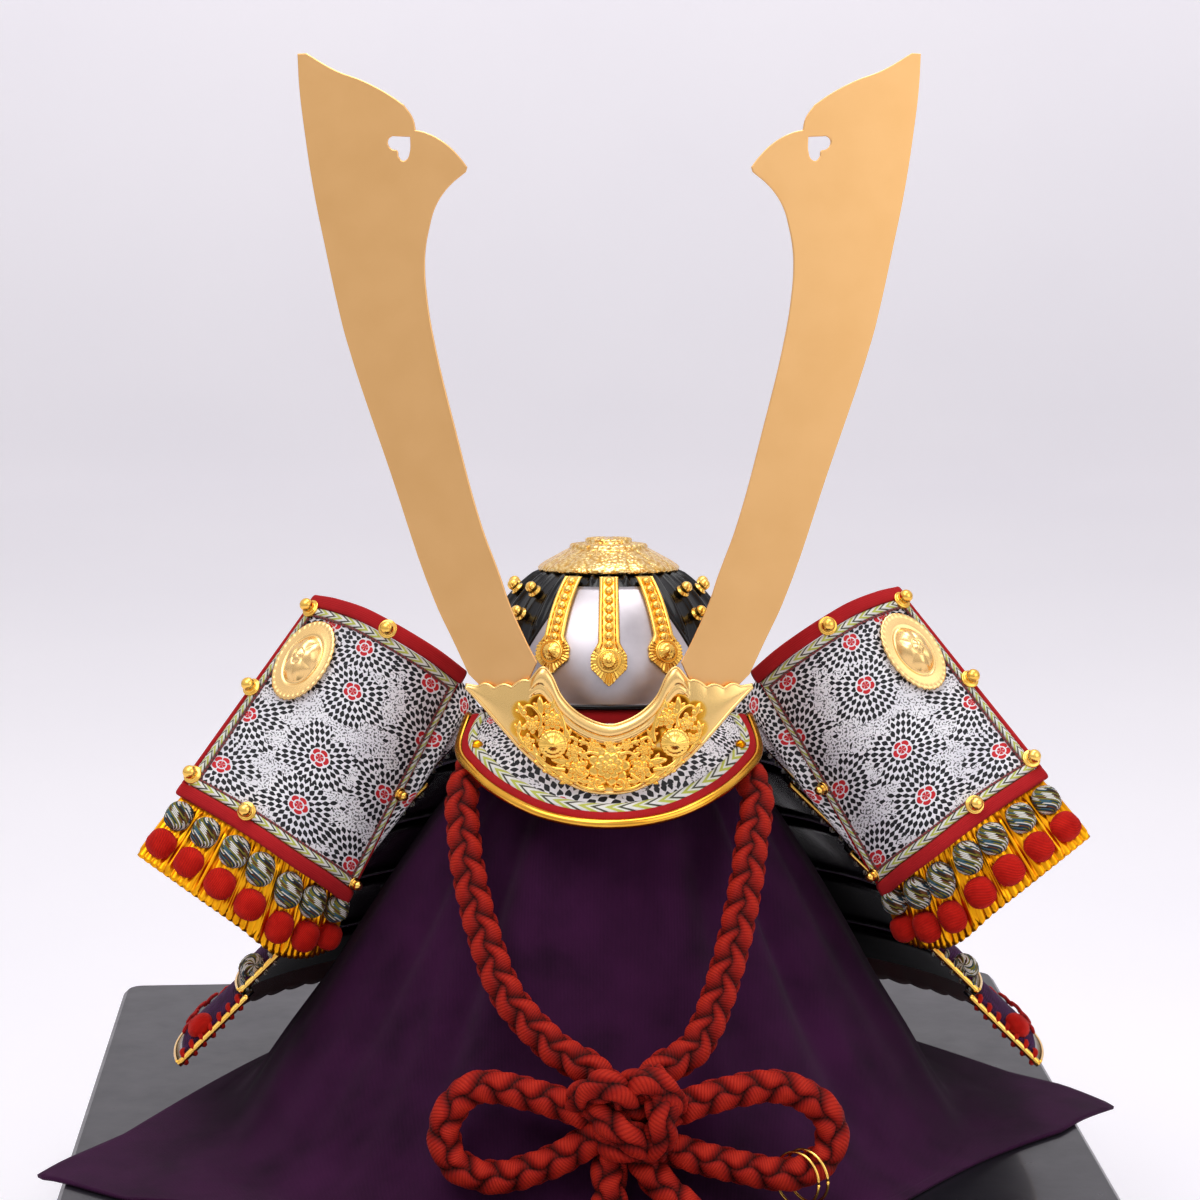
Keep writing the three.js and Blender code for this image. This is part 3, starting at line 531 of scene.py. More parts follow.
# each lamp: place, size and watts
studio = {"key": (-0.55, -0.75, 1.75, 1.1, 12), "fill": (1.2, -0.9, 0.9, 1.2, 5.5), "top": (0.2, 0.1, 1.8, 0.8, 9)}
for name, (x, y, z, size, watts) in studio.items():
    light = bpy.data.lights.new(name, "AREA")
    light.size, light.energy = size, watts
    lamp = bpy.data.objects.new(name, light)
    lamp.location = (x, y, z)
    lamp.rotation_euler = (Vector((0, 0, 0.25)) - Vector((x, y, z))).to_track_quat("-Z", "Y").to_euler()
    scene.collection.objects.link(lamp)
room = bpy.data.worlds.new("studio room")
room.use_nodes = True
room.node_tree.nodes["Background"].inputs["Color"].default_value = hexColour("F7F4F9")
tree = room.node_tree  # polished faces mirror a bright ceiling and a dimmer room below it
height = addNode(tree, "SeparateXYZ", {0: addNode(tree, "TexCoord").outputs["Generated"]}).outputs["Z"]
ceiling = addNode(tree, "MapRange", {"Value": height, "From Min": -0.5, "From Max": 0.7, "To Min": 0.4, "To Max": 1.0})
mirrored = addNode(tree, "Mix", {"Factor": addNode(tree, "LightPath").outputs["Is Glossy Ray"], "A": 0.34, "B": ceiling})
tree.links.new(mirrored.outputs["Result"], tree.nodes["Background"].inputs["Strength"])
scene.world = room

# painted light: the backdrop glows by its own emission, more strongly higher up the sweep
paper, tree, shader = blank("paper backdrop, pale")
tree.links.new(addNode(tree, "ValToRGB", {"Fac": surface(tree, 3, 2)}, stops=[(0.3, "F1EEF4"), (0.7,
    "F5F2F7")]).outputs["Color"],
    shader.inputs["Base Color"])
shader.inputs["Roughness"].default_value = 0.95
shader.inputs["Emission Color"].default_value = hexColour("F5F1F7")
rise = addNode(tree, "SeparateXYZ", {"Vector": addNode(tree, "TexCoord").outputs["Object"]}).outputs["Z"]
tree.links.new(addNode(tree, "MapRange", {"Value": rise, "From Max": 1.2, "To Min": 0.27, "To Max": 0.62}).outputs["Result"],
    shader.inputs["Emission Strength"])
sweepFloor = {"half": 3.0, "back": 2.2}
bm = bmesh.new()
corners = [bm.verts.new((x, y, 0)) for x, y in ((-sweepFloor["half"], -2.5), (sweepFloor["half"], -2.5),
    (sweepFloor["half"], sweepFloor["back"]), (-sweepFloor["half"], sweepFloor["back"]))]
ground = bm.faces.new(corners)
for i in range(12):  # the paper sweeps up behind
    edge = max(bm.edges, key=lambda e: (e.verts[0].co + e.verts[1].co).y + (e.verts[0].co + e.verts[1].co).z)
    grown = [v for v in bmesh.ops.extrude_edge_only(bm, edges=[edge])["geom"] if isinstance(v, bmesh.types.BMVert)]
    a = pi / 2 * (i + 0.5) / 12
    bmesh.ops.translate(bm, verts=grown, vec=(0, cos(a) * 0.12, sin(a) * 0.2))
for f in bm.faces:
    f.smooth = True
floorMesh = bpy.data.meshes.new("floor")
bm.to_mesh(floorMesh)
bm.free()
floorMesh.materials.append(paper)
floorPiece = bpy.data.objects.new("floor", floorMesh)
scene.collection.objects.link(floorPiece)

# chin cord: two strands, the bow's loops and tails, and the knot
print("chin cord")
cordLines = {
    "cord_strand_left": [(-.49, -.2, 1.555), (-.52, -.36, 1.5), (-.558, -.52, 1.415), (-.545, -.66, 1.294), (-.527, -.76,
        1.198),
        (-.467, -.92, 1.004), (-.371, -1.07, .806), (-.2, -1.19, .65), (-.08, -1.26, .6), (.0, -1.31, .54)],
    "cord_strand_right": [(.49, -.2, 1.555), (.52, -.36, 1.5), (.562, -.52, 1.405), (.534, -.67, 1.274), (.514, -.78, 1.169),
        (.453, -.96, .951), (.375, -1.1, .748), (.3, -1.19, .64), (.2, -1.26, .6), (.12, -1.31, .54)],
    "cord_loop_left": [(-.03, -1.345, .45), (-.078, -1.34, .455), (-.25, -1.31, .505), (-.467, -1.28, .533), (-.576, -1.3,
        .446), (-.593, -1.33, .343),
        (-.538, -1.36, .259), (-.394, -1.38, .229), (-.2, -1.38, .29), (-.13, -1.375, .33), (-.03, -1.365, .385)],
    "cord_loop_right": [(.15, -1.345, .45), (.198, -1.34, .455), (.399, -1.31, .515), (.616, -1.28, .533), (.778, -1.3,
        .446), (.788, -1.34, .309),
        (.65, -1.38, .241), (.434, -1.38, .275), (.25, -1.375, .325), (.14, -1.365, .375)],
    "cord_tail_left": [(.03, -1.365, .385), (0, -1.385, .285), (0, -1.46, .17), (-.02, -1.55, .1), (-.04, -1.65, .09)],
    "cord_tail_right": [(.09, -1.365, .385), (.125, -1.39, .285), (.22, -1.45, .19), (.32, -1.51, .12), (.37, -1.62, .09)],
}


def strandRelief(turn, run):
    turn = turn * 4 + chinBraid["sway"] * sin(2 * pi * run / chinBraid["pitch"])
    x = turn % 1.0 * 2 - 1
    way = 1 if floor(turn) % 2 == 0 else -1
    rib = abs(sin(pi * (run / chinBraid["pitch"] + way * (x * chinBraid["slant"] + 0.25))))
    return chinBraid["deep"] * (rib ** 0.5 * (1 - abs(x) ** 4) ** 0.5 - 0.85)


for name, rows in cordLines.items():
    line = through(rows)
    total = length(spread(line, 120))
    points = spread(line, int(total / 0.85))
    bm = newMesh()
    addTube(bm, points, chinBraid["radius"], sides=48, relief=strandRelief, up=Vector((0.0, -1.0,
        0.35)).normalized() if "strand" in name else None)
    piece(f"{name}_silk", bm, cordSilk, (name,), closed=True)
    [world(p) for p in spread(line, 24)]

knot = {"at": Vector((6, -134, 46)), "cord": 5.9}
bm = newMesh()
wraps = [  # each a short run of the cord over the knot, in millimetres from its middle
    [(-17, 2, 1), (-15, -5, 8), (-8, -9, 13), (-1, -9, 10), (3, -4, 3)],
    [(0, 0, 6), (3, -7, 13), (9, -9, 14), (15, -7, 8), (16, 0, 0)],
    [(8, 2, 13), (12, -8, 9), (12.5, -12, 0), (11, -9, -9), (7, 0, -14)],
    [(-12, 1, 4), (-7, -9, 1), (0, -13, -3), (6, -10, -8), (9, 0, -12)],
    [(-10, 2, -3), (-6, -7, -8), (0, -9, -10), (5, -4, -11), (8, 3, -10)]]
for run in wraps:
    line = through([knot["at"] + Vector(p) for p in run], 1.0)
    addTube(bm, spread(line, 44), knot["cord"], sides=36, relief=strandRelief)
turnedOn(bm, [(0, -11), (6, -10), (9, -5), (10, 0), (9, 5), (6, 10), (0, 11)], 24, knot["at"] + Vector((0, 1, 0)),
    Vector((1, 0, 0)))
knotPiece = piece("chin_knot_silk", bm, cordSilk, ("chin_knot",), closed=True)

# gold wire ring, two turns, round the right loop's lower run
wire = {"radius": 0.55, "ring": 9.8, "place": 0.64}
bm = newMesh()
loopLine = through(cordLines["cord_loop_right"])
for shift in (-0.012, 0.012):
    t = wire["place"] + shift
    centre, ahead = loopLine(t), (loopLine(t + 0.01) - loopLine(t)).normalized()
    ahead = (ahead + Vector((0, -0.85 - 9 * shift, 0.25))).normalized()
    centre += Vector((0, -0.6, -2.2))
    side = Vector((0.2, 0.3, 1)).cross(ahead).normalized()
    high = ahead.cross(side)
    ring = [centre + side * (wire["ring"] * cos(2 * pi * i / 48)) + high * (wire["ring"] * sin(2 * pi * i / 48))
        for i in range(49)]
    addTube(bm, ring, wire["radius"], sides=8, closed=True)
wirePiece = piece("cord_ring_wire", bm, brightGold, closed=True)

# the tails' ends are bound with a few turns of thread
for side in ("left", "right"):
    bm = newMesh()
    line = through(cordLines[f"cord_tail_{side}"])
    points = spread(line, 16, 0.9, 1.0)
    addTube(bm, points, 6.1, sides=32, relief=lambda turn, run: 0.25 * abs(sin(pi * run / 0.9)))
    piece(f"cord_tail_{side}_binding", bm, redWool, closed=True)

for name in cordLines:  # the tails are skipped here; the loops end in the same knot; the side read off each name is not used
    if "tail" in name:
        continue
    side = name.split("_")[-1]

# cloth over the stand
print("cloth")
drape = {"tip": 226.0, "turn": radians(9.3), "centre": (-6, -2.5), "reach": 152, "forward": 36, "fold": 4.5, "wall": 1.2}
clothFall = [(.39, 1.66, 0), (.43, 1.5, .1), (.6, 1.3, .4), (.75, 1.07, .75), (.9, .82, 1), (1.06, .55, 1), (1.22, .31, .9),
    (1.34, .13, .6), (1.44, .03, .2)]
headMid, headBack, capR = 187.05, 0.79, 34.9  # the post's round head under the cloth
# valleys down the cloth: bearing, half width, depth
folds = [(radians(d), radians(w), deep) for d, w, deep in ((-122, 6, 5.5), (-90, 12, 6.0), (-103, 5, 3.0), (-78, 5, 3.5),
    (-58, 6, 5.5), (-38, 5, 4.0),
    (-146, 5, 4.0), (-15, 7, 5.0), (20, 8, 5.0), (48, 6, 4.5), (75, 8, 5.5), (108, 7, 5.0), (140, 8, 5.5), (168, 7, 4.5))]


def clothProfile(a):
    off = (a - drape["turn"]) % (pi / 2)
    edge = min(drape["tip"], drape["reach"] / cos(off - pi / 4))
    corner = abs(cos(2 * (a - drape["turn"])))
    ripple = 0.6 * sin(7 * a + 2.6) + 0.4 * sin(4 * a + 2.6)
    fine = 0.55 * sin(19 * a + 1.1 * sin(3 * a)) + 0.45 * sin(31 * a + 0.7)
    valley = sum(depth * exp(-((atan2(sin(a - at), cos(a - at))) / wide) ** 2) for at, wide, depth in folds)
    rows = []
    for k in range(9):
        t = radians(lerp(1, 88, k / 8))
        rows.append((capR * sin(t), headMid + capR * cos(t)))
    for r, z, fold in clothFall:
        out = r * 100 + fold * (drape["fold"] * ripple + 4 * (corner - 0.5) + 1.2 * fine)
        rows.append((out - valley * sin(pi * clamp((1.62 - z) / 1.5)), max(0.3, z * 100)))
    last = clothFall[-1][0] * 100 + 2
    for k in range(4):
        f = (k + 1) / 4
        wave = 0.0 if f == 1 else 0.9 * max(0.0, sin(9 * a + 1.3)) * (1 - f)
        rows.append((lerp(last, edge, f), 0.35 + wave))
    return through([(r, 0, z) for r, z in rows], 1.0)


profiles = {}
plinth = {"half": (198.5, 180.0), "turn": radians(3), "shift": (-11.8, -17.7)}  # the box's top; the cloth sinks past its edges


def pastEdge(x, y):
    x, y = x - plinth["shift"][0], y - plinth["shift"][1]
    c, d = cos(plinth["turn"]), sin(plinth["turn"])
    return max(abs(x * c + y * d) - plinth["half"][0], abs(y * c - x * d) - plinth["half"][1], 0.0)


def clothAt(u, w):
    key = round(u * 320) % 320
    if key not in profiles:
        profiles[key] = clothProfile(2 * pi * key / 320)
    a = 2 * pi * key / 320
    p = profiles[key](w)
    flat = clamp((p.x - 40) / 90)
    x, y = lerp(0, drape["centre"][0], flat) + p.x * cos(a), lerp(headBack, drape["centre"][1], flat) + p.x * sin(a)
    side = cos(a - drape["turn"])
    y -= drape["forward"] * (1 - side / 6) * side * side * clamp((p.x - 134) / 50)
    return Vector((x, y, max(0.35, p.z) - 5 * (pastEdge(x, y) / 24) ** 1.3))


bm = newMesh()
addPatch(bm, 320, 110, clothAt, out=lambda c: Vector((0, 0, 1)), ring=True)
layer = bm.loops.layers.uv.verify()
for f in bm.faces:
    for corner in f.loops:
        corner[layer].uv = (corner.vert.co.x * 100, (corner.vert.co.y + corner.vert.co.z) * 100)
print("cloth area", round(sum(f.calc_area() for f in bm.faces), 4))
clothPiece = piece("cloth_crepe", bm, purpleCrepe, ("cloth_drape",), wall=drape["wall"], offset=1.0)

for node, look in (("base_box", standLacquer), ("stand_post", plainWood)):
    held = bpy.data.objects[node]
    for slotRow in held.material_slots:
        slotRow.material = look

# bowl: lacquered shell with raised ribs and rows of gold studs, silver plate on its front
print("bowl")
bowl = {"radius": 50.0, "crown": 7.0, "rise": 169.0, "tilt": radians(6.5), "wall": 1.6, "ribs": 28, "rib": 1.55}


def lean(p):  # from the bowl's own upright frame to the leaning helmet
    c, s = cos(bowl["tilt"]), sin(bowl["tilt"])
    return Vector((p[0], p[1] * c + p[2] * s, bowl["rise"] + p[2] * c - p[1] * s))


bowlUp = (lean((0, 0, 1)) - lean((0, 0, 0))).normalized()
bowlMid = lean((0, 0, bowl["crown"]))


def onBowl(r, bearing, h):
    out = sqrt(max(0.0, r * r - (h - bowl["crown"]) ** 2))
    return lean((out * sin(bearing), -out * cos(bearing), h))


plate = {"foot": 1.0, "top": 45.5, "footBearing": 52, "topBearing": 26, "proud": 1.3, "bead": 0.9}


def plateEdge(h):  # half bearing of the silver plate at a height
    return radians(lerp(plate["footBearing"], plate["topBearing"],
        clamp((h - plate["foot"]) / (plate["top"] - plate["foot"]))))


def bowlSkin(u, w):
    bearing = 2 * pi * u - pi
    th = lerp(acos(-bowl["crown"] / bowl["radius"]), 0.02, w)
    h = bowl["crown"] + bowl["radius"] * cos(th)
    ridge = abs(cos(bearing * bowl["ribs"] / 2)) ** 7
    covered = abs(bearing) < plateEdge(h) + 0.05 and h < 46.5
    grow = 0.0 if covered else ridge * bowl["rib"] * ease((h - 1.0) / 3) * ease((th - 0.5) / 0.12)
    r = bowl["radius"] + grow
    out = r * sin(th)
    return lean((out * sin(bearing), -out * cos(bearing), bowl["crown"] + r * cos(th)))


bm = newMesh()
addPatch(bm, 384, 48, bowlSkin, out=lambda c: c - world(bowlMid), ring=True)
piece("bowl_shell", bm, blackLacquer, ("bowl",), wall=bowl["wall"])

studs = {"grow": 1.12, "rows": (12.0, 23.5, 34.5, 43.0)}
ballProfile = [(2.5, -0.4), (2.5, 0.25), (1.7, 0.5), (1.9, 1.3), (2.1, 2.2), (1.8, 3.2), (1.0, 3.9), (0.0, 4.15)]
bm = newMesh()
for k in range(bowl["ribs"]):
    bearing = (2 * pi * k / bowl["ribs"] + pi) % (2 * pi) - pi
    for row, h in enumerate(studs["rows"]):
        if abs(bearing) < plateEdge(h) + 0.16 or k % 2:
            continue
        p = onBowl(bowl["radius"] + bowl["rib"] - 0.2, bearing, h)
        turnedOn(bm, [(r * studs["grow"], q * studs["grow"]) for r, q in ballProfile], 16, p, p - bowlMid)
piece("bowl_studs", bm, brightGold, closed=True)

def onPlate(side, v, proud):
    bearing = side * radians(lerp(plate["footBearing"], plate["topBearing"], v))
    return onBowl(bowl["radius"] + proud, bearing, lerp(plate["foot"], plate["top"], v))


bm = newMesh()
addPatch(bm, 64, 32, lambda u, v: onPlate(2 * u - 1, v, plate["proud"]), out=lambda c: c - world(bowlMid), uv=(8, 4.6))
piece("front_plate_silver", bm, silver, ("front_plate",), wall=0.8)
bm = newMesh()  # rolled black bead round the silver plate
rim = [onPlate(-1, i / 20, plate["bead"]) for i in range(20, -1, -1)] + [onPlate(i / 20 - 1, 0,
    plate["bead"]) for i in range(1, 40)] + \
    [onPlate(1, i / 20, plate["bead"]) for i in range(21)]
addTube(bm, rim, plate["bead"], sides=8)
piece("front_plate_bead", bm, blackLacquer, closed=True)

bm = newMesh()  # red band, with its weave, under the bowl's rim
bandProfile = [(46.5, -6.3), (49.0, -6.3), (49.3, -4.5), (49.3, -2.0), (48.9, -.35), (46.5, -.35)]


def bandAt(u, w):
    r, h = bandProfile[int(round(w * 5))]
    a = 2 * pi * u
    return lean((r * cos(a), r * sin(a), h))


addPatch(bm, 128, 5, bandAt, ring=True, uv=(31, 1.2))
addPatch(bm, 128, 1, lambda u, w: lean((46.5 * cos(2 * pi * u), 46.5 * sin(2 * pi * u), lerp(-6.3, -.35, w))), ring=True,
    uv=(31, .6))
bmesh.ops.remove_doubles(bm, verts=bm.verts[:], dist=1e-6)
piece("rim_band_cloth", bm, redCloth, ("rim_band",), closed=True)

# three gold strips with rivets, and their fluted heads
print("strips")
strip = {"bearing": 25.5, "base": 51.7, "top": 49.25, "low": 9.5, "sideLow": 13.5}


def stripHalf(v):
    if v < 0.6:
        return lerp(3.7, 4.2, v / 0.6)
    return lerp(4.2, 6.9, (v - 0.6) / 0.12) if v < 0.72 else 6.9 if v < 0.84 else lerp(6.9, 0.5, (v - 0.84) / 0.16)


for name, k in (("left", -1), ("middle", 0), ("right", 1)):
    bm = newMesh()
    low = strip["sideLow"] if k else strip["low"]

    def stripAt(u, v):
        h = lerp(strip["top"], low, v)
        x = 2 * u - 1
        half = stripHalf(v)
        head = v > 0.66
        rail = 1.15 * sqrt(max(0.0, 1 - ((abs(x) - 0.78) / 0.23) ** 2))
        dx, dy = x * half, (0.77 - v) * (strip["top"] - low) * 1.12
        away = hypot(dx, dy)
        flute = 0.55 + 0.45 * cos(30 * atan2(dx, dy)) * clamp((away - 3.9) / 0.6) if head else rail
        r = strip["base"] + 0.5 + lerp(rail, flute, ease((v - 0.62) / 0.08))
        out = sqrt(r * r - (h - bowl["crown"]) ** 2)
        return onBowl(r, radians(k * strip["bearing"]) + x * half / out, h)
    addPatch(bm, 44, 96, stripAt, out=lambda c: c - world(bowlMid), uv=(1.2, 4.0))
    piece(f"strip_{name}_gold", bm, brightGold, (f"strip_{name}",), wall=1.3)
    bm = newMesh()
    for i in range(8):
        p = onBowl(strip["base"] + 0.5, radians(k * strip["bearing"]), lerp(strip["top"] - 2.0,
            low + (strip["top"] - low) * 0.38, i / 7))
        turnedOn(bm, [(1.85, -0.3), (1.85, 0.4), (1.5, 1.2), (0.85, 1.65), (0, 1.8)], 16, p, p - bowlMid)
    p = onBowl(strip["base"] + 0.9, radians(k * strip["bearing"]), low + (strip["top"] - low) * 0.23)
    boss = lambda r, h, a: (r, h + (0.1 * cos(16 * a) if 2.3 < r < 3.4 else 0.0))
    turnedOn(bm, [(4.6, -0.2), (4.6, 0.6), (4.2, 0.9), (3.8, 0.6), (3.6, 0.7), (3.3, 1.3), (2.6, 1.9), (1.8, 2.3), (1.3,
        2.3), (1.1, 2.7), (0.6, 3.0), (0, 3.1)],
        56, p, p - bowlMid, lobes=boss)
    piece(f"strip_{name}_rivets", bm, brightGold, closed=True)

# crown ornament: stepped petals, chased all over
print("crown")
crownProfile = [(0, 57.35), (9, 57.35), (12, 56.3), (19, 54.0), (26.4, 50.2), (27.1, 49.6), (27.6, 49.9), (27.6, 50.8),
    (26.8, 51.7), (24.6, 53.3),
    (22, 54.8), (20, 55.9), (18, 57.0), (16, 58.0), (15.3, 58.6), (15.4, 59.3), (14.9, 60.0), (13.5, 60.3), (11.5,
        60.5), (9.6, 60.6),
    (9.2, 61.1), (9.3, 61.8), (8.7, 62.3), (7.0, 62.5), (4, 62.5), (2.6, 62.5), (0, 62.5)]


def crownLobes(r, h, a):
    if h > 50.6 and 15.8 < r:
        petal = abs(cos(9 * a))
        return r + 0.3 * petal * clamp((r - 22) / 4), h + 0.3 * petal
    if 9.4 < r < 15.8:
        return r, h + 0.15 * cos(32 * a)
    return r, h + (0.2 * cos(20 * a) if 2 < r < 8.9 and h > 60 else 0.0)


bm = newMesh()
turnedOn(bm, crownProfile, 216, lean((0, 0, 0)), bowlUp, lobes=crownLobes, up=Vector((0, -1, 0)))
piece("crown_chased", bm, grainGold, ("crown_ornament",), closed=True)

# visor: printed leather, braid, red edge and a polished gold roll
print("visor")
visorTable = [(.561, -.2, 1.654), (.587, -.38, 1.562), (.543, -.5, 1.513), (.415, -.68, 1.454), (.225, -.82, 1.403), (0,
    -.88, 1.389)]
visorOuter = through([(-x, y, z) for x, y, z in visorTable] + visorTable[:-1][::-1])


def visorInner(u, r=50.2):
    a = radians(66) * (2 * u - 1)
    return lean((r * sin(a), -r * cos(a), -5.6))


def visorEdge(u, back, lift=0.0):
    o = visorOuter(u)
    way = (visorInner(u) - o).normalized()
    across = (visorOuter(min(1, u + .01)) - visorOuter(max(0, u - .01))).normalized()
    return o + way * back + across.cross(way).normalized() * -lift


def visorAt(u, v, lift=0.8):
    return visorInner(u).lerp(visorEdge(u, 4.0), v) + (visorEdge(u, 4.0, lift) - visorEdge(u, 4.0))


probe = visorEdge(0.5, 4.0, 1.0) - visorEdge(0.5, 4.0)
sign = 1 if probe.z > 0 else -1
bm = newMesh()
addPatch(bm, 96, 12, lambda u, v: visorAt(u, v, 0.8 * sign), out=lambda c: Vector((0, -.3, 1)), uv=(15.5, 3.2))
piece("visor_leather", bm, leather, ("visor",), wall=1.6)
bm = newMesh()
points = [visorEdge(i / 96, 1.7) for i in range(97)]
addTube(bm, points, 1.9, sides=14)
piece("visor_roll", bm, rimGold, ("visor_rim",), closed=True)
for name, back, half, look, slot, high, span in (("red_edge", 4.9, 1.9, redCloth, "red_cloth", 0.8, (1, 15.5)),
        ("braid", 8.1, 2.3, greenBraid, "mixed_thread", 1.1, (1, 13.2))):
    bm = newMesh()

    def bandOn(u, v, back=back, half=half, high=high):
        x = 2 * v - 1
        lift = 0.75 + high * sqrt(max(0.0, 1 - x * x * 0.92))
        t = lerp(0.004, 0.996, u)
        return visorEdge(t, back + x * half, lift * sign)
    addPatch(bm, 192, 6, bandOn, out=lambda c: Vector((0, -.3, 1)))
    layer = bm.loops.layers.uv.verify()
    for f in bm.faces:
        for corner in f.loops:
            u, v = corner[layer].uv
            corner[layer].uv = (v * span[0], u * span[1])
    piece(f"visor_{name}", bm, look, wall=0.5)
bm = newMesh()  # small amber knots at the braid's ends
for u in (0.16, 0.84):
    c = visorEdge(u, 9.5, 2.0 * sign)
    turnedOn(bm, [(1.9, -1.0), (2.0, 0.2), (1.4, 1.1), (0.6, 1.4), (0, 1.4)], 14, c, Vector((0, -.35, 1)),
        lobes=lambda r, h, a: (r * (1 + 0.12 * cos(5 * a)), h))
piece("visor_knots", bm, scaleGold, closed=True)

# crest holder: U-shaped roll, scalloped wings, flowers and curling leaves in relief
print("crest holder")
holder = {"foot": 149.7, "front": -77.0, "bow": 10.0, "half": 54.0, "wall": 1.6}
holderRows = [(0, 0, 0, .25), (.075, .007, .06, .264), (.145, .032, .125, .3), (.2, .058, .178, .355), (.245, .085, .215,
    .43),
    (.29, .122, .25, .458), (.34, .168, .3, .405), (.4, .232, .37, .378), (.46, .298, .445, .372), (.535, .372, .535, .38)]
holderLine = [through([(r[i], 0, r[j]) for r in ([(-a, b, -c, d) for a, b, c,
    d in holderRows[:0:-1]] + holderRows)]) for i, j in ((0, 1), (2, 3))]


def holderBack(x, z):
    return holder["front"] + holder["bow"] * (x / holder["half"]) ** 2 + tan(bowl["tilt"]) * (z - holder["foot"])


# flowers: across, up, size, petals; leaves: across, up, size, turn
flowers = [(0, 10.2, 7.4, 9), (-11.8, 8.8, 4.6, 6), (11.8, 9.2, 4.6, 6), (-21.0, 27.0, 4.6, 6), (21.6, 27.8, 4.6, 6),
    (-28.4, 25.0, 3.7, 5),
    (28.8, 25.6, 3.7, 5), (-5.6, 3.9, 2.9, 5), (5.6, 3.9, 2.9, 5), (-13.2, 16.0, 3.4, 5), (13.2, 16.4, 3.4, 5), (-30.5,
        18.4, 3.2, 5),
    (31.0, 19.0, 3.2, 5), (-6.3, 17.6, 2.6, 5), (6.3, 17.8, 2.6, 5), (0, 18.2, 2.2, 5)]
leaves = [(17.4, 11.6, 4.4, .2), (18.6, 7.6, 4.2, .55), (25.0, 11.4, 4.2, .9), (15.6, 21.6, 3.6, 1.2), (25.4, 31.4, 4.2,
    1.5), (20.4, 33.0, 3.6, 2.0),
    (32.2, 29.6, 3.6, 1.1), (9.4, 13.8, 3.0, .6), (9.0, 4.4, 3.0, .1), (27.0, 14.6, 3.6, 1.2), (33.4, 23.2, 3.2,
        1.7), (16.0, 4.6, 3.4, .5),
    (14.2, 12.6, 2.8, 2.2), (25.2, 22.4, 2.8, 1.9), (9.6, 18.9, 2.6, .3), (22.4, 8.2, 3.2, .8), (17.8, 26.0, 3.0,
        1.3), (3.4, 16.6, 2.4, .2)]
# scrolls of the right half, mirrored to the left
scrolls = [[(8.0, 7.2), (12.5, 4.6), (17.0, 6.6), (18.0, 9.6), (15.4, 10.4)], [(16.2, 8.6), (21.6, 9.4), (25.8, 13.0),
    (25.2, 15.4)],
    [(29.4, 14.8), (32.6, 18.8), (33.8, 22.6), (31.6, 23.6)], [(16.8, 19.0), (16.4, 24.0), (18.2, 29.8), (21.0, 33.4),
        (22.8, 32.0)],
    [(25.6, 24.0), (25.2, 28.0), (28.2, 31.4), (31.2, 31.6), (31.4, 29.4)], [(4.0, 14.6), (7.4, 15.2), (10.4, 13.2), (9.6,
        11.2)],
    [(2.0, 2.6), (7.0, 1.6), (11.6, 3.4), (12.4, 5.8)], [(11.6, 19.6), (14.4, 20.6), (16.4, 17.4)]]


def reliefAt(x, z):  # how much of the ornament covers a place, for the painted shade on the ground beside it
    z -= holder["foot"]
    best = 0.0
    for cx, cz, size, _ in flowers:
        best = max(best, 1.25 - hypot(x - cx, z - cz) / size)
    for cx, cz, size, _ in leaves:
        best = max(best, 1.25 - hypot(abs(x) - cx, z - cz) / size)
    return best


def holderAt(u, v):
    p = holderLine[0](u).lerp(holderLine[1](u), v)
    k = abs(p.x)
    scallop = 1.5 * abs(sin(pi * (k - 29.5) / 6.6)) * ease((k - 29) / 2) * ease((50 - k) / 3)
    return p.x, p.z + holder["foot"] + scallop * ease((v - .7) / .3)


def holderFace(u, v):
    x, z = holderAt(u, v)
    k = abs(2 * u - 1)
    deep = (1 - v) * lerp(19, 30, clamp(k * 1.3))  # roughly, millimetres below the upper edge
    wide = lerp(5.2, 7.6, ease(k / .6))
    rolled = 0.0
    if deep < wide and k < 0.68:  # the two-step roll round the U
        first = sqrt(max(0.0, 1 - ((deep / wide - .33) / .34) ** 2))
        second = .6 * sqrt(max(0.0, 1 - ((deep / wide - .78) / .2) ** 2))
        rolled = 2.1 * max(first, second, .35) * ease((0.66 - k) / 0.05)
    swell = .5 * sin(pi * clamp(v)) * clamp((k - .5) / .2)
    return Vector((x, holderBack(x, z) - holder["wall"] - max(rolled, swell), z))


# painted shade on the relief's ground: darkest beside the flowers and leaves, none on the upper part, fading out
# towards the wings' tips
def holderPaintedShade(u, v):
    x, z = holderAt(u, v)
    if v > .72:
        return 0.0
    return clamp(reliefAt(x, z) * 3) * clamp((40 - abs(x)) / 12) * ease((v - .03) / .08)


# the depth layer carries the painted shade into the relief gold
bm = newMesh(withShadeLayer=True)
addPatch(bm, 280, 76, holderFace, out=lambda c: Vector((0, -1, 0)), uv=(11, 3), paintedShadeAt=holderPaintedShade)
piece("crest_holder_relief", bm, reliefGoldShaded, ("crest_holder",), wall=1.4)


def onHolder(x, z, off=0.0):
    return Vector((x, holderBack(x, z + holder["foot"]) - holder["wall"] - off, z + holder["foot"]))


def laidPetal(bm, x, z, size, oval, angle, off, thick):  # one domed petal, its middle dished
    dome = [(size, -.5), (size, .12 * thick), (size * .93, .45 * thick), (size * .74, .85 * thick), (size * .48, thick),
        (size * .2, .86 * thick), (0, .8 * thick)]
    turnedOn(bm, dome, 18, onHolder(x, z, off), Vector((0, -1, .12)), up=Vector((cos(angle), 0, sin(angle))), oval=oval)


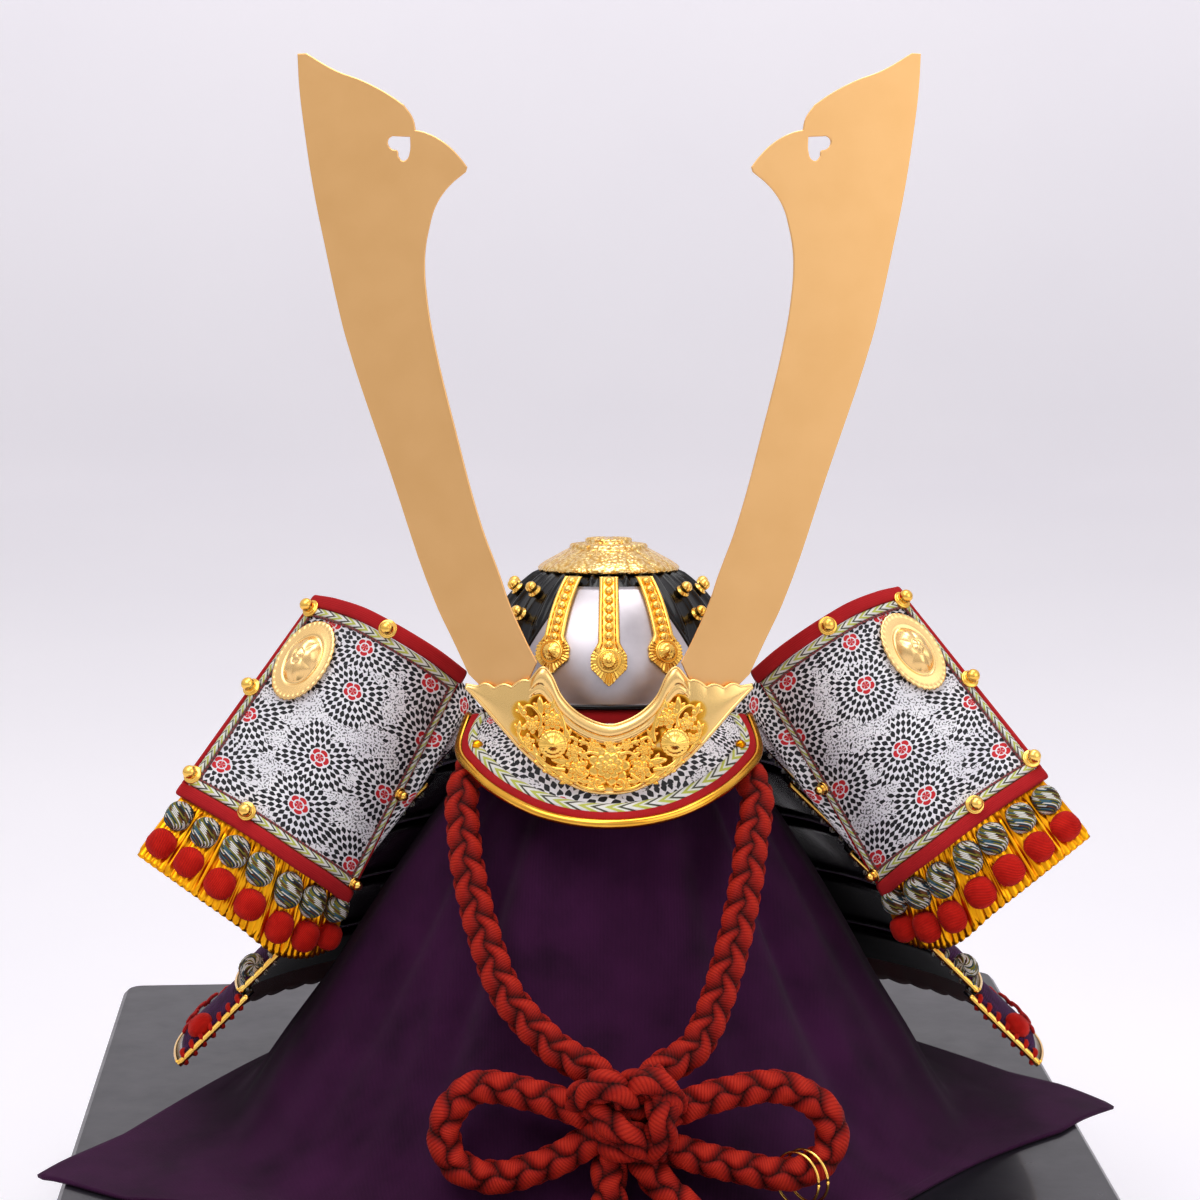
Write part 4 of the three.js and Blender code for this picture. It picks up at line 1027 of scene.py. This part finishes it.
bm = newMesh()  # flowers, leaves and scrolls laid on the ground
for n, (cx, cz, size, petals) in enumerate(flowers):
    for ring, (reach, big, lift) in enumerate(((.68, .44, .0), (.42, .34, .75), (.2, .22, 1.35))):
        for i in range(petals if ring < 2 else 5):
            a = 2 * pi * (i + .5 * ring) / (petals if ring < 2 else 5) + .7 * n
            laidPetal(bm, cx + size * reach * cos(a), cz + size * reach * sin(a), size * big, .78, a, lift * min(1,
                size / 4.5), 1.15)
    laidPetal(bm, cx, cz, size * .16, 1.0, 0, 1.9 * min(1, size / 4.5), 1.0)
for cx, cz, size, angle in leaves:
    for s in (-1, 1):
        a = angle if s > 0 else pi - angle
        laidPetal(bm, s * cx, cz, size, .36, a, .15, 1.2)
        for side in (-1, 1):
            b = a + side * .75
            laidPetal(bm, s * cx - size * .25 * cos(a) + size * .42 * cos(b), cz - size * .25 * sin(a) + size * .42 * sin(b),
                size * .55, .42, b, .05, .95)
for run in scrolls:
    for s in (-1, 1):
        line = through([onHolder(s * x, z, .8) for x, z in run], 1.0)
        addTube(bm, spread(line, 30), lambda t: .95 * (1 - .55 * t), sides=10)
        laidPetal(bm, s * run[-1][0], run[-1][1], 1.15, 1.0, 0, .7, 1.1)
piece("crest_holder_flowers", bm, brightGold, closed=True)

bm = newMesh()  # bosses either side, curls at the foot, a fine bead along the lower edge
for x, z in ((-20.8, 18.2), (24.4, 18.5)):
    c = Vector((x, holderBack(x, z + holder["foot"]) - holder["wall"] - 1.0, z + holder["foot"]))
    turnedOn(bm, [(5.3, -0.6), (5.5, 0.6), (5.0, 1.5), (4.4, 1.2), (3.9, 1.7), (3.2, 2.2), (2.4, 2.2), (2.0, 2.7), (1.2,
        3.0), (0.9, 3.3), (0, 3.5)],
        72, c, Vector((0, -1, 0.1)), lobes=lambda r, h, a: (r * (1 + 0.03 * cos(18 * a)),
            h + (0.12 * cos(18 * a) if 4.0 < r < 5.2 else 0)))
for s in (-1, 1):
    coil = []
    for i in range(40):
        a, r = i / 39 * 4.6, 2.9 * (1 - i / 39 * 0.72)
        x, z = s * (3.4 + 0.3 + r * cos(a - 2.4)), 4.2 + r * sin(a - 2.4)
        coil.append(Vector((x, holderBack(x, z + holder["foot"]) - holder["wall"] - 1.9, z + holder["foot"])))
    addTube(bm, coil, lambda t: 0.85 * (1 - 0.5 * t), sides=8)
piece("crest_holder_bosses", bm, brightGold, closed=True)
bm = newMesh()
for v, size, sink in ((0, .7, .1), (1, .55, .3)):
    run = [holderAt(i / 240, v) for i in range(241)]
    addTube(bm, [onHolder(x, z - holder["foot"], -sink) for x, z in run], size, sides=8)
piece("crest_holder_edges", bm, reliefGoldShaded, closed=True)

# crest horns: flat satin sheet with rounded edges and a pierced heart
print("horns")
horn = {"height": 230.0, "wall": 1.4, "yaw": radians(11), "foot": (28, -66.9, 190), "edge": 0.35}
hornRows = [(-.005, .029), (.016, -.02), (.075, -.025), (.108, .005), (.132, .053), (.167, .122), (.245, .33), (.322,
    .542), (.336, .592),
    (.359, .687), (.381, .784), (.397, .875), (.407, .946), (.411, 1.001), (.396, 1.002), (.347, .975), (.3, .958), (.258,
        .937), (.232, .92),
    (.217, .899), (.212, .88), (.197, .877), (.163, .86), (.138, .837), (.126, .822), (.128, .814), (.147, .799), (.162,
        .783), (.178, .756),
    (.187, .723), (.192, .693), (.193, .662), (.189, .617), (.178, .555), (.137, .4), (.091, .247), (.059, .167), (.044,
        .126), (.016, .067)]
heartRows = [(.221, .869), (.221, .845), (.226, .833), (.233, .831), (.24, .838), (.242, .847), (.25, .849), (.257, .856),
    (.257, .865), (.251, .87)]
sharp = {0, 1, 2, 3, 13, 14, 18, 20, 24, 25, 26}  # corners that stay crisp
for name, way in (("right", 1), ("left", -1)):
    outline = bpy.data.curves.new(f"horn_{name}_outline", "CURVE")
    outline.dimensions, outline.fill_mode, outline.resolution_u = "2D", "BOTH", 6
    outline.extrude = horn["wall"] / 2000 - horn["edge"] / 1000
    outline.bevel_depth, outline.bevel_resolution = horn["edge"] / 1000, 2
    outline.offset = -horn["edge"] / 1000
    for rows, crisp in ((hornRows, sharp), (heartRows, {0, 4, 9})):
        spline = outline.splines.new("BEZIER")
        spline.bezier_points.add(len(rows) - 1)
        spline.use_cyclic_u = True
        for i, (point, (across, up)) in enumerate(zip(spline.bezier_points, rows)):
            point.co = (across * horn["height"] / 1000, up * horn["height"] / 1000, 0)
            point.handle_left_type = point.handle_right_type = "VECTOR" if i in crisp else "AUTO"
    draft = bpy.data.objects.new("draft", outline)
    scene.collection.objects.link(draft)
    mesh = bpy.data.meshes.new_from_object(draft.evaluated_get(bpy.context.evaluated_depsgraph_get()))
    bpy.data.objects.remove(draft)
    turn = Matrix.Rotation(horn["yaw"], 4, "Z") @ Matrix.Rotation(pi / 2 - bowl["tilt"], 4, "X")
    bm = bmesh.new()
    bm.from_mesh(mesh)
    bmesh.ops.remove_doubles(bm, verts=bm.verts[:], dist=1e-6)
    bmesh.ops.transform(bm, matrix=Matrix.Translation(Vector(horn["foot"]) / 1000) @ turn, verts=bm.verts[:])
    if way < 0:
        bmesh.ops.scale(bm, vec=(-1, 1, 1), verts=bm.verts[:])
    bmesh.ops.translate(bm, vec=world((0, 0, 0)), verts=bm.verts[:])
    bmesh.ops.recalc_face_normals(bm, faces=bm.faces[:])
    for f in bm.faces:
        f.smooth = False
    piece(f"horn_{name}_sheet", bm, satinGold, (f"horn_{name}",))

# turned-back wings with their bindings, braid, studs, rosettes, scales and thread bundles
print("wings")
wing = {"roll": 0.058, "wall": 2.0, "out": 1.6, "droop": radians(-3.3), "behind": 4.3}
wingTop = through([(.558, -.14, 1.824), (.64, -.26, 1.929), (.735, -.32, 2.015), (.831, -.31, 2.076), (.922, -.26, 2.117),
    (1.029, -.18, 2.141), (1.117, -.1, 2.145)])
wingLow = through([(1.066, -.42, .989), (1.142, -.52, 1.094), (1.238, -.57, 1.187), (1.342, -.57, 1.273), (1.447, -.54,
    1.343),
    (1.566, -.49, 1.409), (1.681, -.42, 1.462)])
scaleLow = through([(1.145, -.36, .789), (1.237, -.48, .799), (1.34, -.57, .851), (1.457, -.62, .977), (1.579, -.62, 1.079),
    (1.711, -.58, 1.174), (1.839, -.5, 1.25)])


def wingAt(t, v):
    return wingTop(t).lerp(wingLow(t), v)


def wingOut(t, v):
    along = wingAt(min(1, t + .001), v) - wingAt(max(0, t - .001), v)
    return (wingLow(t) - wingTop(t)).cross(along).normalized()


def scaleAt(t, v):
    return (wingAt(t, .9) - wingOut(t, .9) * wing["behind"]).lerp(scaleLow(t), v)


def scaleOut(t, v):
    along = scaleAt(min(1, t + .001), v) - scaleAt(max(0, t - .001), v)
    return (scaleAt(t, 1) - scaleAt(t, 0)).cross(along).normalized()


def hung(p, side):  # the left wing is the mirror of the right one, and hangs a little lower
    if side == "right":
        return p
    c, s = cos(wing["droop"]), sin(wing["droop"])
    x, z = -p.x + 55.8, p.z - 182.4
    return Vector((x * c + z * s - 55.8, p.y, -x * s + z * c + 182.4))


wingStuds = {"left": [(.96, .07), (.47, .035), (.99, .47), (.98, .90), (.66, .92), (.02, .54), (.02, .92)],
    "right": [(.95, .07), (.47, .04), (.99, .49), (.985, .90), (.63, .93), (.02, .53), (.02, .91)]}


def bundleRelief(turn, run):  # thread turns wound round a bundle
    return .42 * abs(sin(pi * 30 * (turn + .05 * run))) - .2


def bundleEnds(along):  # a bundle's radius closes at both ends
    return max(.02, 1 - abs(2 * along - 1) ** 2.7) ** .5


bundles = {"count": 7, "upper": (.3, .57), "lower": (.63, .9), "half": 5.6}
outwards = lambda c: Vector((0, -1, 0))

for side in ("right", "left"):
    on = lambda t, v, off=0.0, side=side: hung(wingAt(t, v) + wingOut(t, v) * off, side)
    onScale = lambda t, v, off=0.0, side=side: hung(scaleAt(t, v) + scaleOut(t, v) * off, side)
    bm = newMesh()
    addPatch(bm, 48, 64, lambda u, w: on(u, lerp(wing["roll"] + .003, 1 - wing["roll"] - .003, w)), out=outwards, uv=(7.6,
        10.6))
    piece(f"wing_{side}_leather", bm, leather, (f"wing_{side}",), wall=wing["wall"])
    for name, v0 in (("top", 0.0), ("low", 1 - wing["roll"])):  # soft red binding, rolled over the edge
        bm = newMesh()

        def hemAt(u, w, v0=v0):
            a = 2 * pi * u
            x, y = cos(a), sin(a)
            x, y = copysign(abs(x) ** 0.6, x), copysign(abs(y) ** 0.7, y)
            pull = 0.06 * sin(2 * pi * w * 9) * sin(2 * pi * w * 3.3)
            return on(w, v0 + wing["roll"] * (0.5 + 0.5 * x), -0.6 + (2.2 + pull) * y)
        addPatch(bm, 28, 72, hemAt, ring=True, uv=(2.0, 7.6))
        piece(f"wing_{side}_binding_{name}", bm, redCloth, (f"wing_hem_{name}_{side}",), closed=True)
    bm = newMesh()
    addTube(bm, [on(1.0, lerp(.05, .95, i / 60), -0.9) for i in range(61)], 1.35, sides=10)
    addTube(bm, [on(0.0, lerp(.06, .95, i / 60), -0.9) for i in range(61)], 1.15, sides=10)
    piece(f"wing_{side}_binding_side", bm, redCloth, closed=True)

    bm = newMesh()  # flat braid just inside the bindings, on all four sides
    layer = bm.loops.layers.uv.verify()
    runs = [(lambda s, x: (s, .077 + x * .0165), 7.0, .02, .97), (lambda s, x: (s, .923 + x * .0165), 7.6, .02, .97),
        (lambda s, x: (.966 + x * .018, s), 10.6, .07, .93), (lambda s, x: (.022 + x * .012, s), 10.6, .09, .93)]
    for place, run, low, high in runs:
        def braidAt(u, w, place=place, low=low, high=high):
            x = 2 * w - 1
            t, v = place(lerp(low, high, u), x)
            return on(t, v, 0.15 + 1.0 * sqrt(max(0.0, 1 - 0.94 * x * x)))
        before = set(bm.faces)
        addPatch(bm, 120, 6, braidAt, out=outwards)
        for f in set(bm.faces) - before:
            for corner in f.loops:
                u, w = corner[layer].uv
                corner[layer].uv = (w, u * run)
    piece(f"wing_{side}_braid", bm, greenBraid, wall=0.3)
    bm = newMesh()  # dark red piping between braid and leather
    for (t0, v0), (t1, v1) in (((.04, .0965), (.945, .0965)), ((.04, .9035), (.945, .9035)), ((.942, .097), (.942, .903)),
            ((.04, .097), (.04, .903))):
        addTube(bm, [on(lerp(t0, t1, i / 60), lerp(v0, v1, i / 60), .35) for i in range(61)], 0.5, sides=8)
    piece(f"wing_{side}_piping", bm, redBraid, closed=True)

    bm = newMesh()  # ball studs, each on its washer
    for t, v in wingStuds[side]:
        c, n = on(t, v, 1.3), (on(t, v, 1.0) - on(t, v, 0.0)).normalized()
        k = 0.72 if t < 0.1 else 1.0
        turnedOn(bm, [(r * k, h * k) for r, h in ((3.6, -1.2), (3.7, .1), (3.4, .5), (2.9, .45), (2.2, .8), (2.4, 1.5),
            (2.65, 2.6), (2.5, 3.7),
            (1.9, 4.6), (1.0, 5.1), (0, 5.25))], 24, c, n)
    piece(f"wing_{side}_studs", bm, brightGold, closed=True)

    bm = newMesh()  # rosette: scalloped rim, two rings of petals, raised five-part middle
    c, n = on(.8, .29, .3), (on(.8, .29, 1.0) - on(.8, .29, 0.0)).normalized()
    rosette = [(0, 0), (15.6, 0), (16.9, .3), (17.3, .9), (16.9, 1.5), (16.0, 1.7), (14.4, 1.75), (12.6, 1.8), (11.2,
        1.9), (10.4, 1.6), (9.8, 1.9),
        (9.2, 2.7), (8.3, 3.7), (7.2, 4.6), (6.0, 5.2), (4.8, 5.6), (3.6, 5.9), (3.0, 5.7), (2.4, 6.2), (1.6, 6.6), (.8,
            6.8), (0, 6.8)]

    def petals(r, h, a):
        if h < 0.2:
            return r, h
        if r > 10.6:
            notch = abs(sin(18 * a))
            return r * (1 - .022 * notch * clamp((r - 14.5) / 1.5)), h + .3 * notch * clamp((r - 15.2) / 1.2)
        if r > 3.2:
            return r, h + .9 * (abs(cos(2.5 * a + .4)) - .6) * sin(pi * (r - 3.2) / 7.4)
        return r, h + .2 * cos(5 * a) * (r / 3.2)
    fine = [(lerp(a[0], b[0], f / 2), lerp(a[1], b[1], f / 2)) for a, b in zip(rosette, rosette[1:]) for f in (0,
        1)] + [rosette[-1]]
    turnedOn(bm, fine, 144, c, n, lobes=petals, up=(on(.8, .4) - on(.8, .29)).normalized(), oval=.68)
    piece(f"rosette_{side}_chased", bm, paleGold, (f"rosette_{side}",), closed=True)

    bm = newMesh()  # gold scales: narrow upright ribs, notched along the bottom

    def scaleSkin(u, w):
        rib = abs(sin(pi * u * 30)) ** 0.7
        bar = 1.0 if abs((u * 7) % 1.0 - 0.5) > 0.43 else 0.0
        notch = 0.012 * (1 - rib)
        return onScale(u, lerp(0.0, 1.0 - notch, w),
            0.1 + 0.75 * rib + bar * 1.3 * ease((w - .3) / .05) * ease((.97 - w) / .05))
    addPatch(bm, 270, 30, scaleSkin, out=outwards, uv=(7.8, 3.4))
    piece(f"scales_{side}_ribbed", bm, scaleGold, (f"scales_{side}",), wall=1.5)
    for row, look, slot in (("upper", mixedThread, "mixed_thread"), ("lower", redWool, "red_thread")):
        bm = newMesh()
        random.seed(31 if row == "upper" else 47)
        for i in range(bundles["count"]):
            t = (i + .5) / bundles["count"] + random.uniform(-.006, .006)
            low, high = bundles[row]
            turnBy = random.uniform(.004, .016) * (1 if row == "lower" else -1)
            path = [onScale(clamp(t + turnBy * (2 * s - 1), .05, .95), lerp(low - .015, high + .015, s),
                2.7) for s in (j / 24 for j in range(25))]
            n = (onScale(t, .6, 1.0) - onScale(t, .6, 0.0)).normalized()
            half = bundles["half"] * random.uniform(.94, 1.04)
            addTube(bm, path, lambda s, half=half: half * bundleEnds(s), sides=60, flat=.74, up=n, relief=bundleRelief)
        name = f"tufts_{row}_{side}"
        piece(f"{name}_wound", bm, look, (name,), closed=True)

# neck guard: five laced lames
print("neck guard")
guard = {"lames": 5, "wall": 1.8, "tuck": 4, "under": 3, "topR": 49.9, "topH": -6.5, "lowR": 170.0, "lowH": -139.0,
    "swell": 16,
    "ends": (-6, -8, -9, -13, -14), "lace": 2.9}
slant = hypot(guard["lowR"] - guard["topR"], guard["lowH"] - guard["topH"])


def guardAt(bearing, s, off):
    f = s / slant
    swell = guard["swell"] * f * max(0.0, sin(bearing)) ** 2
    r = lerp(guard["topR"], guard["lowR"], f) + swell - off * (guard["lowH"] - guard["topH"]) / slant
    h = lerp(guard["topH"], guard["lowH"], f) + off * (guard["lowR"] - guard["topR"]) / slant
    return lean((r * cos(bearing), r * sin(bearing), h))


def fromAxis(c):  # away from the helmet's upright middle line
    return Vector((c.x - standTop["x"] / 1000, c.y - standTop["y"] / 1000, 0.1))


laceLooks = [whiteLace, lilacLace, purpleLace, purpleLace, purpleLace]
for k in range(guard["lames"]):
    run = slant / guard["lames"]
    s0, s1 = (k * run - guard["tuck"] if k else 0), (k + 1) * run
    a0, a1 = radians(guard["ends"][k]), radians(180 - guard["ends"][k])

    def plateAt(u, v):
        return guardAt(lerp(a1, a0, u), lerp(s0, s1, v), guard["wall"] + lerp(-guard["under"] if k else 0, 0, v))
    bm = newMesh()
    addPatch(bm, 160, 8, plateAt, out=fromAxis)
    piece(f"neck_lame_{k + 1}_plate", bm, blackLacquer, (f"neck_lame_{k + 1}",), wall=guard["wall"])

    top, low = s0 + (guard["tuck"] + .8 if k else 1.5), s1 - (2.6 if k < 4 else 4.2)
    arc = (a1 - a0) * lerp(guard["topR"], guard["lowR"], (s0 + s1) / 2 / slant)
    columns = int(arc / guard["lace"])
    bm = newMesh()

    def laceAt(u, v):
        x = abs(sin(pi * u * columns)) ** .55
        row = .25 * abs(sin(pi * v * 7))
        edge = ease(v / .06) * ease((1 - v) / .06)
        base = guard["wall"] + lerp(-guard["under"] if k else 0, 0, (lerp(top, low, v) - s0) / (s1 - s0))
        return guardAt(lerp(a1 - .012, a0 + .012, u), lerp(top, low, v), base + .12 + edge * (1.0 * x + row))
    addPatch(bm, columns * 4, 14, laceAt, out=fromAxis, uv=(columns * .29, 2.6))
    piece(f"neck_lame_{k + 1}_lacing", bm, laceLooks[k], wall=.1)

    bm = newMesh()  # gold edge down both front ends and along the foot
    for a in (a0, a1):
        nudge = .004 if a == a0 else -.004
        addTube(bm, [guardAt(a + nudge, lerp(s0 + 3, s1, i / 24), guard["wall"] * .5 + lerp(-guard["under"] if k else 0,
            0, i / 24)) for i in range(25)],
            1.35, sides=8)
    addTube(bm, [guardAt(lerp(a0, a1, i / 160), s1 - .4, guard["wall"] + .15) for i in range(161)], .55, sides=6)
    piece(f"neck_lame_{k + 1}_edging", bm, brightGold, closed=True)

    bm = newMesh()  # edge thread whipped round the front ends
    for a, way in ((a0, 1), (a1, -1)):
        r = lerp(guard["topR"], guard["lowR"], (s0 + s1) / 2 / slant)
        coil = []
        laps = 7
        for i in range(laps * 14 + 1):
            p = i / 14
            f = lerp(.12 if k else .2, .98, i / (laps * 14))
            inward = way * (2.6 + 2.3 * cos(2 * pi * p)) / r
            off = guard["wall"] * .5 + (1.9 + .3) * sin(2 * pi * p) + lerp(-guard["under"] if k else 0, 0, f)
            coil.append(guardAt(a + inward, lerp(s0, s1, f), off))
        addTube(bm, coil, 1.0, sides=6)
    piece(f"neck_lame_{k + 1}_whipping", bm, mixedThread if k < 4 else redWool,
        closed=True)

for k in range(2, guard["lames"]):  # hanks of thread at the front ends, red ones on the lowest lame
    bm = newMesh()
    run = slant / guard["lames"]
    for way, a in ((1, radians(guard["ends"][k])), (-1, radians(180 - guard["ends"][k]))):
        for place in ((.3, .72) if k < 4 else (.55,)):
            r = lerp(guard["topR"], guard["lowR"], (k + place) / 5)
            path = [guardAt(a + way * lerp(.8, 11.5, j / 20) / r, (k + place) * run + lerp(-1.5, 1.5, j / 20),
                guard["wall"] + 1.6) for j in range(21)]
            normal = (guardAt(a, (k + place) * run, 9) - guardAt(a, (k + place) * run, 0)).normalized()
            addTube(bm, path, lambda s: 5.2 * bundleEnds(s), sides=48, flat=.72, up=normal, relief=bundleRelief)
    piece(f"neck_lame_{k + 1}_hanks", bm, mixedThread if k < 4 else redWool,
        closed=True)

bm = newMesh()  # red crosses of lacing along the lowest lame
count = 34
for i in range(count):
    a = lerp(radians(-8), radians(188), (i + .5) / count)
    for way in (-1, 1):
        addTube(bm, [guardAt(a + way * lerp(-.017, .017, j / 8), slant - lerp(13.5, 6.5, j / 8),
            guard["wall"] + 1.6 + .7 * sin(pi * j / 8))
            for j in range(9)], .75, sides=6, tips=True)
piece("neck_cross_lacing", bm, redLace, closed=True)

bm = newMesh()  # dark red lining inside the lowest lame, its foot cut in scallops
liningEnds = (radians(-12.5), radians(192.5))


def liningAt(u, w):
    foot = slant + .6 - 1.8 * (1 - abs(sin(pi * u * 46)))
    return guardAt(lerp(liningEnds[1], liningEnds[0], u), lerp(slant - 22, foot, w), -.5 - .5 * ease(w))


addPatch(bm, 368, 6, liningAt, out=fromAxis, uv=(58, 2.2))
piece("neck_lining", bm, darkRed, wall=.5)

for side in ("right", "left"):  # the leather turns back round the wing's inner edge to the neck guard
    bm = newMesh()

    def rootAt(u, w, side=side):
        v = lerp(.03, .97, w)
        a = hung(wingAt(.012, v) - wingOut(.015, .3) * 1.6, side)
        b = guardAt(radians(lerp(-23, -9, w ** .6)), lerp(1.5, 62, w), 2.2)
        if side == "left":
            b = Vector((-b.x, b.y, b.z))
        inward = Vector((-1 if side == "right" else 1, -.35, -.1))
        return a.lerp(b, u) + inward * (6.5 * sin(pi * min(1.0, u * 1.3)) ** .8 * sin(pi * w) ** .8 * (1 - .45 * u))
    addPatch(bm, 24, 48, rootAt, out=outwards, uv=(2.4, 10.6))
    piece(f"wing_{side}_turn", bm, leather, wall=1.2)

for node in ("wing_return_right", "wing_return_left"):
    for slotRow in bpy.data.objects[node].material_slots:
        slotRow.material = blackLacquer
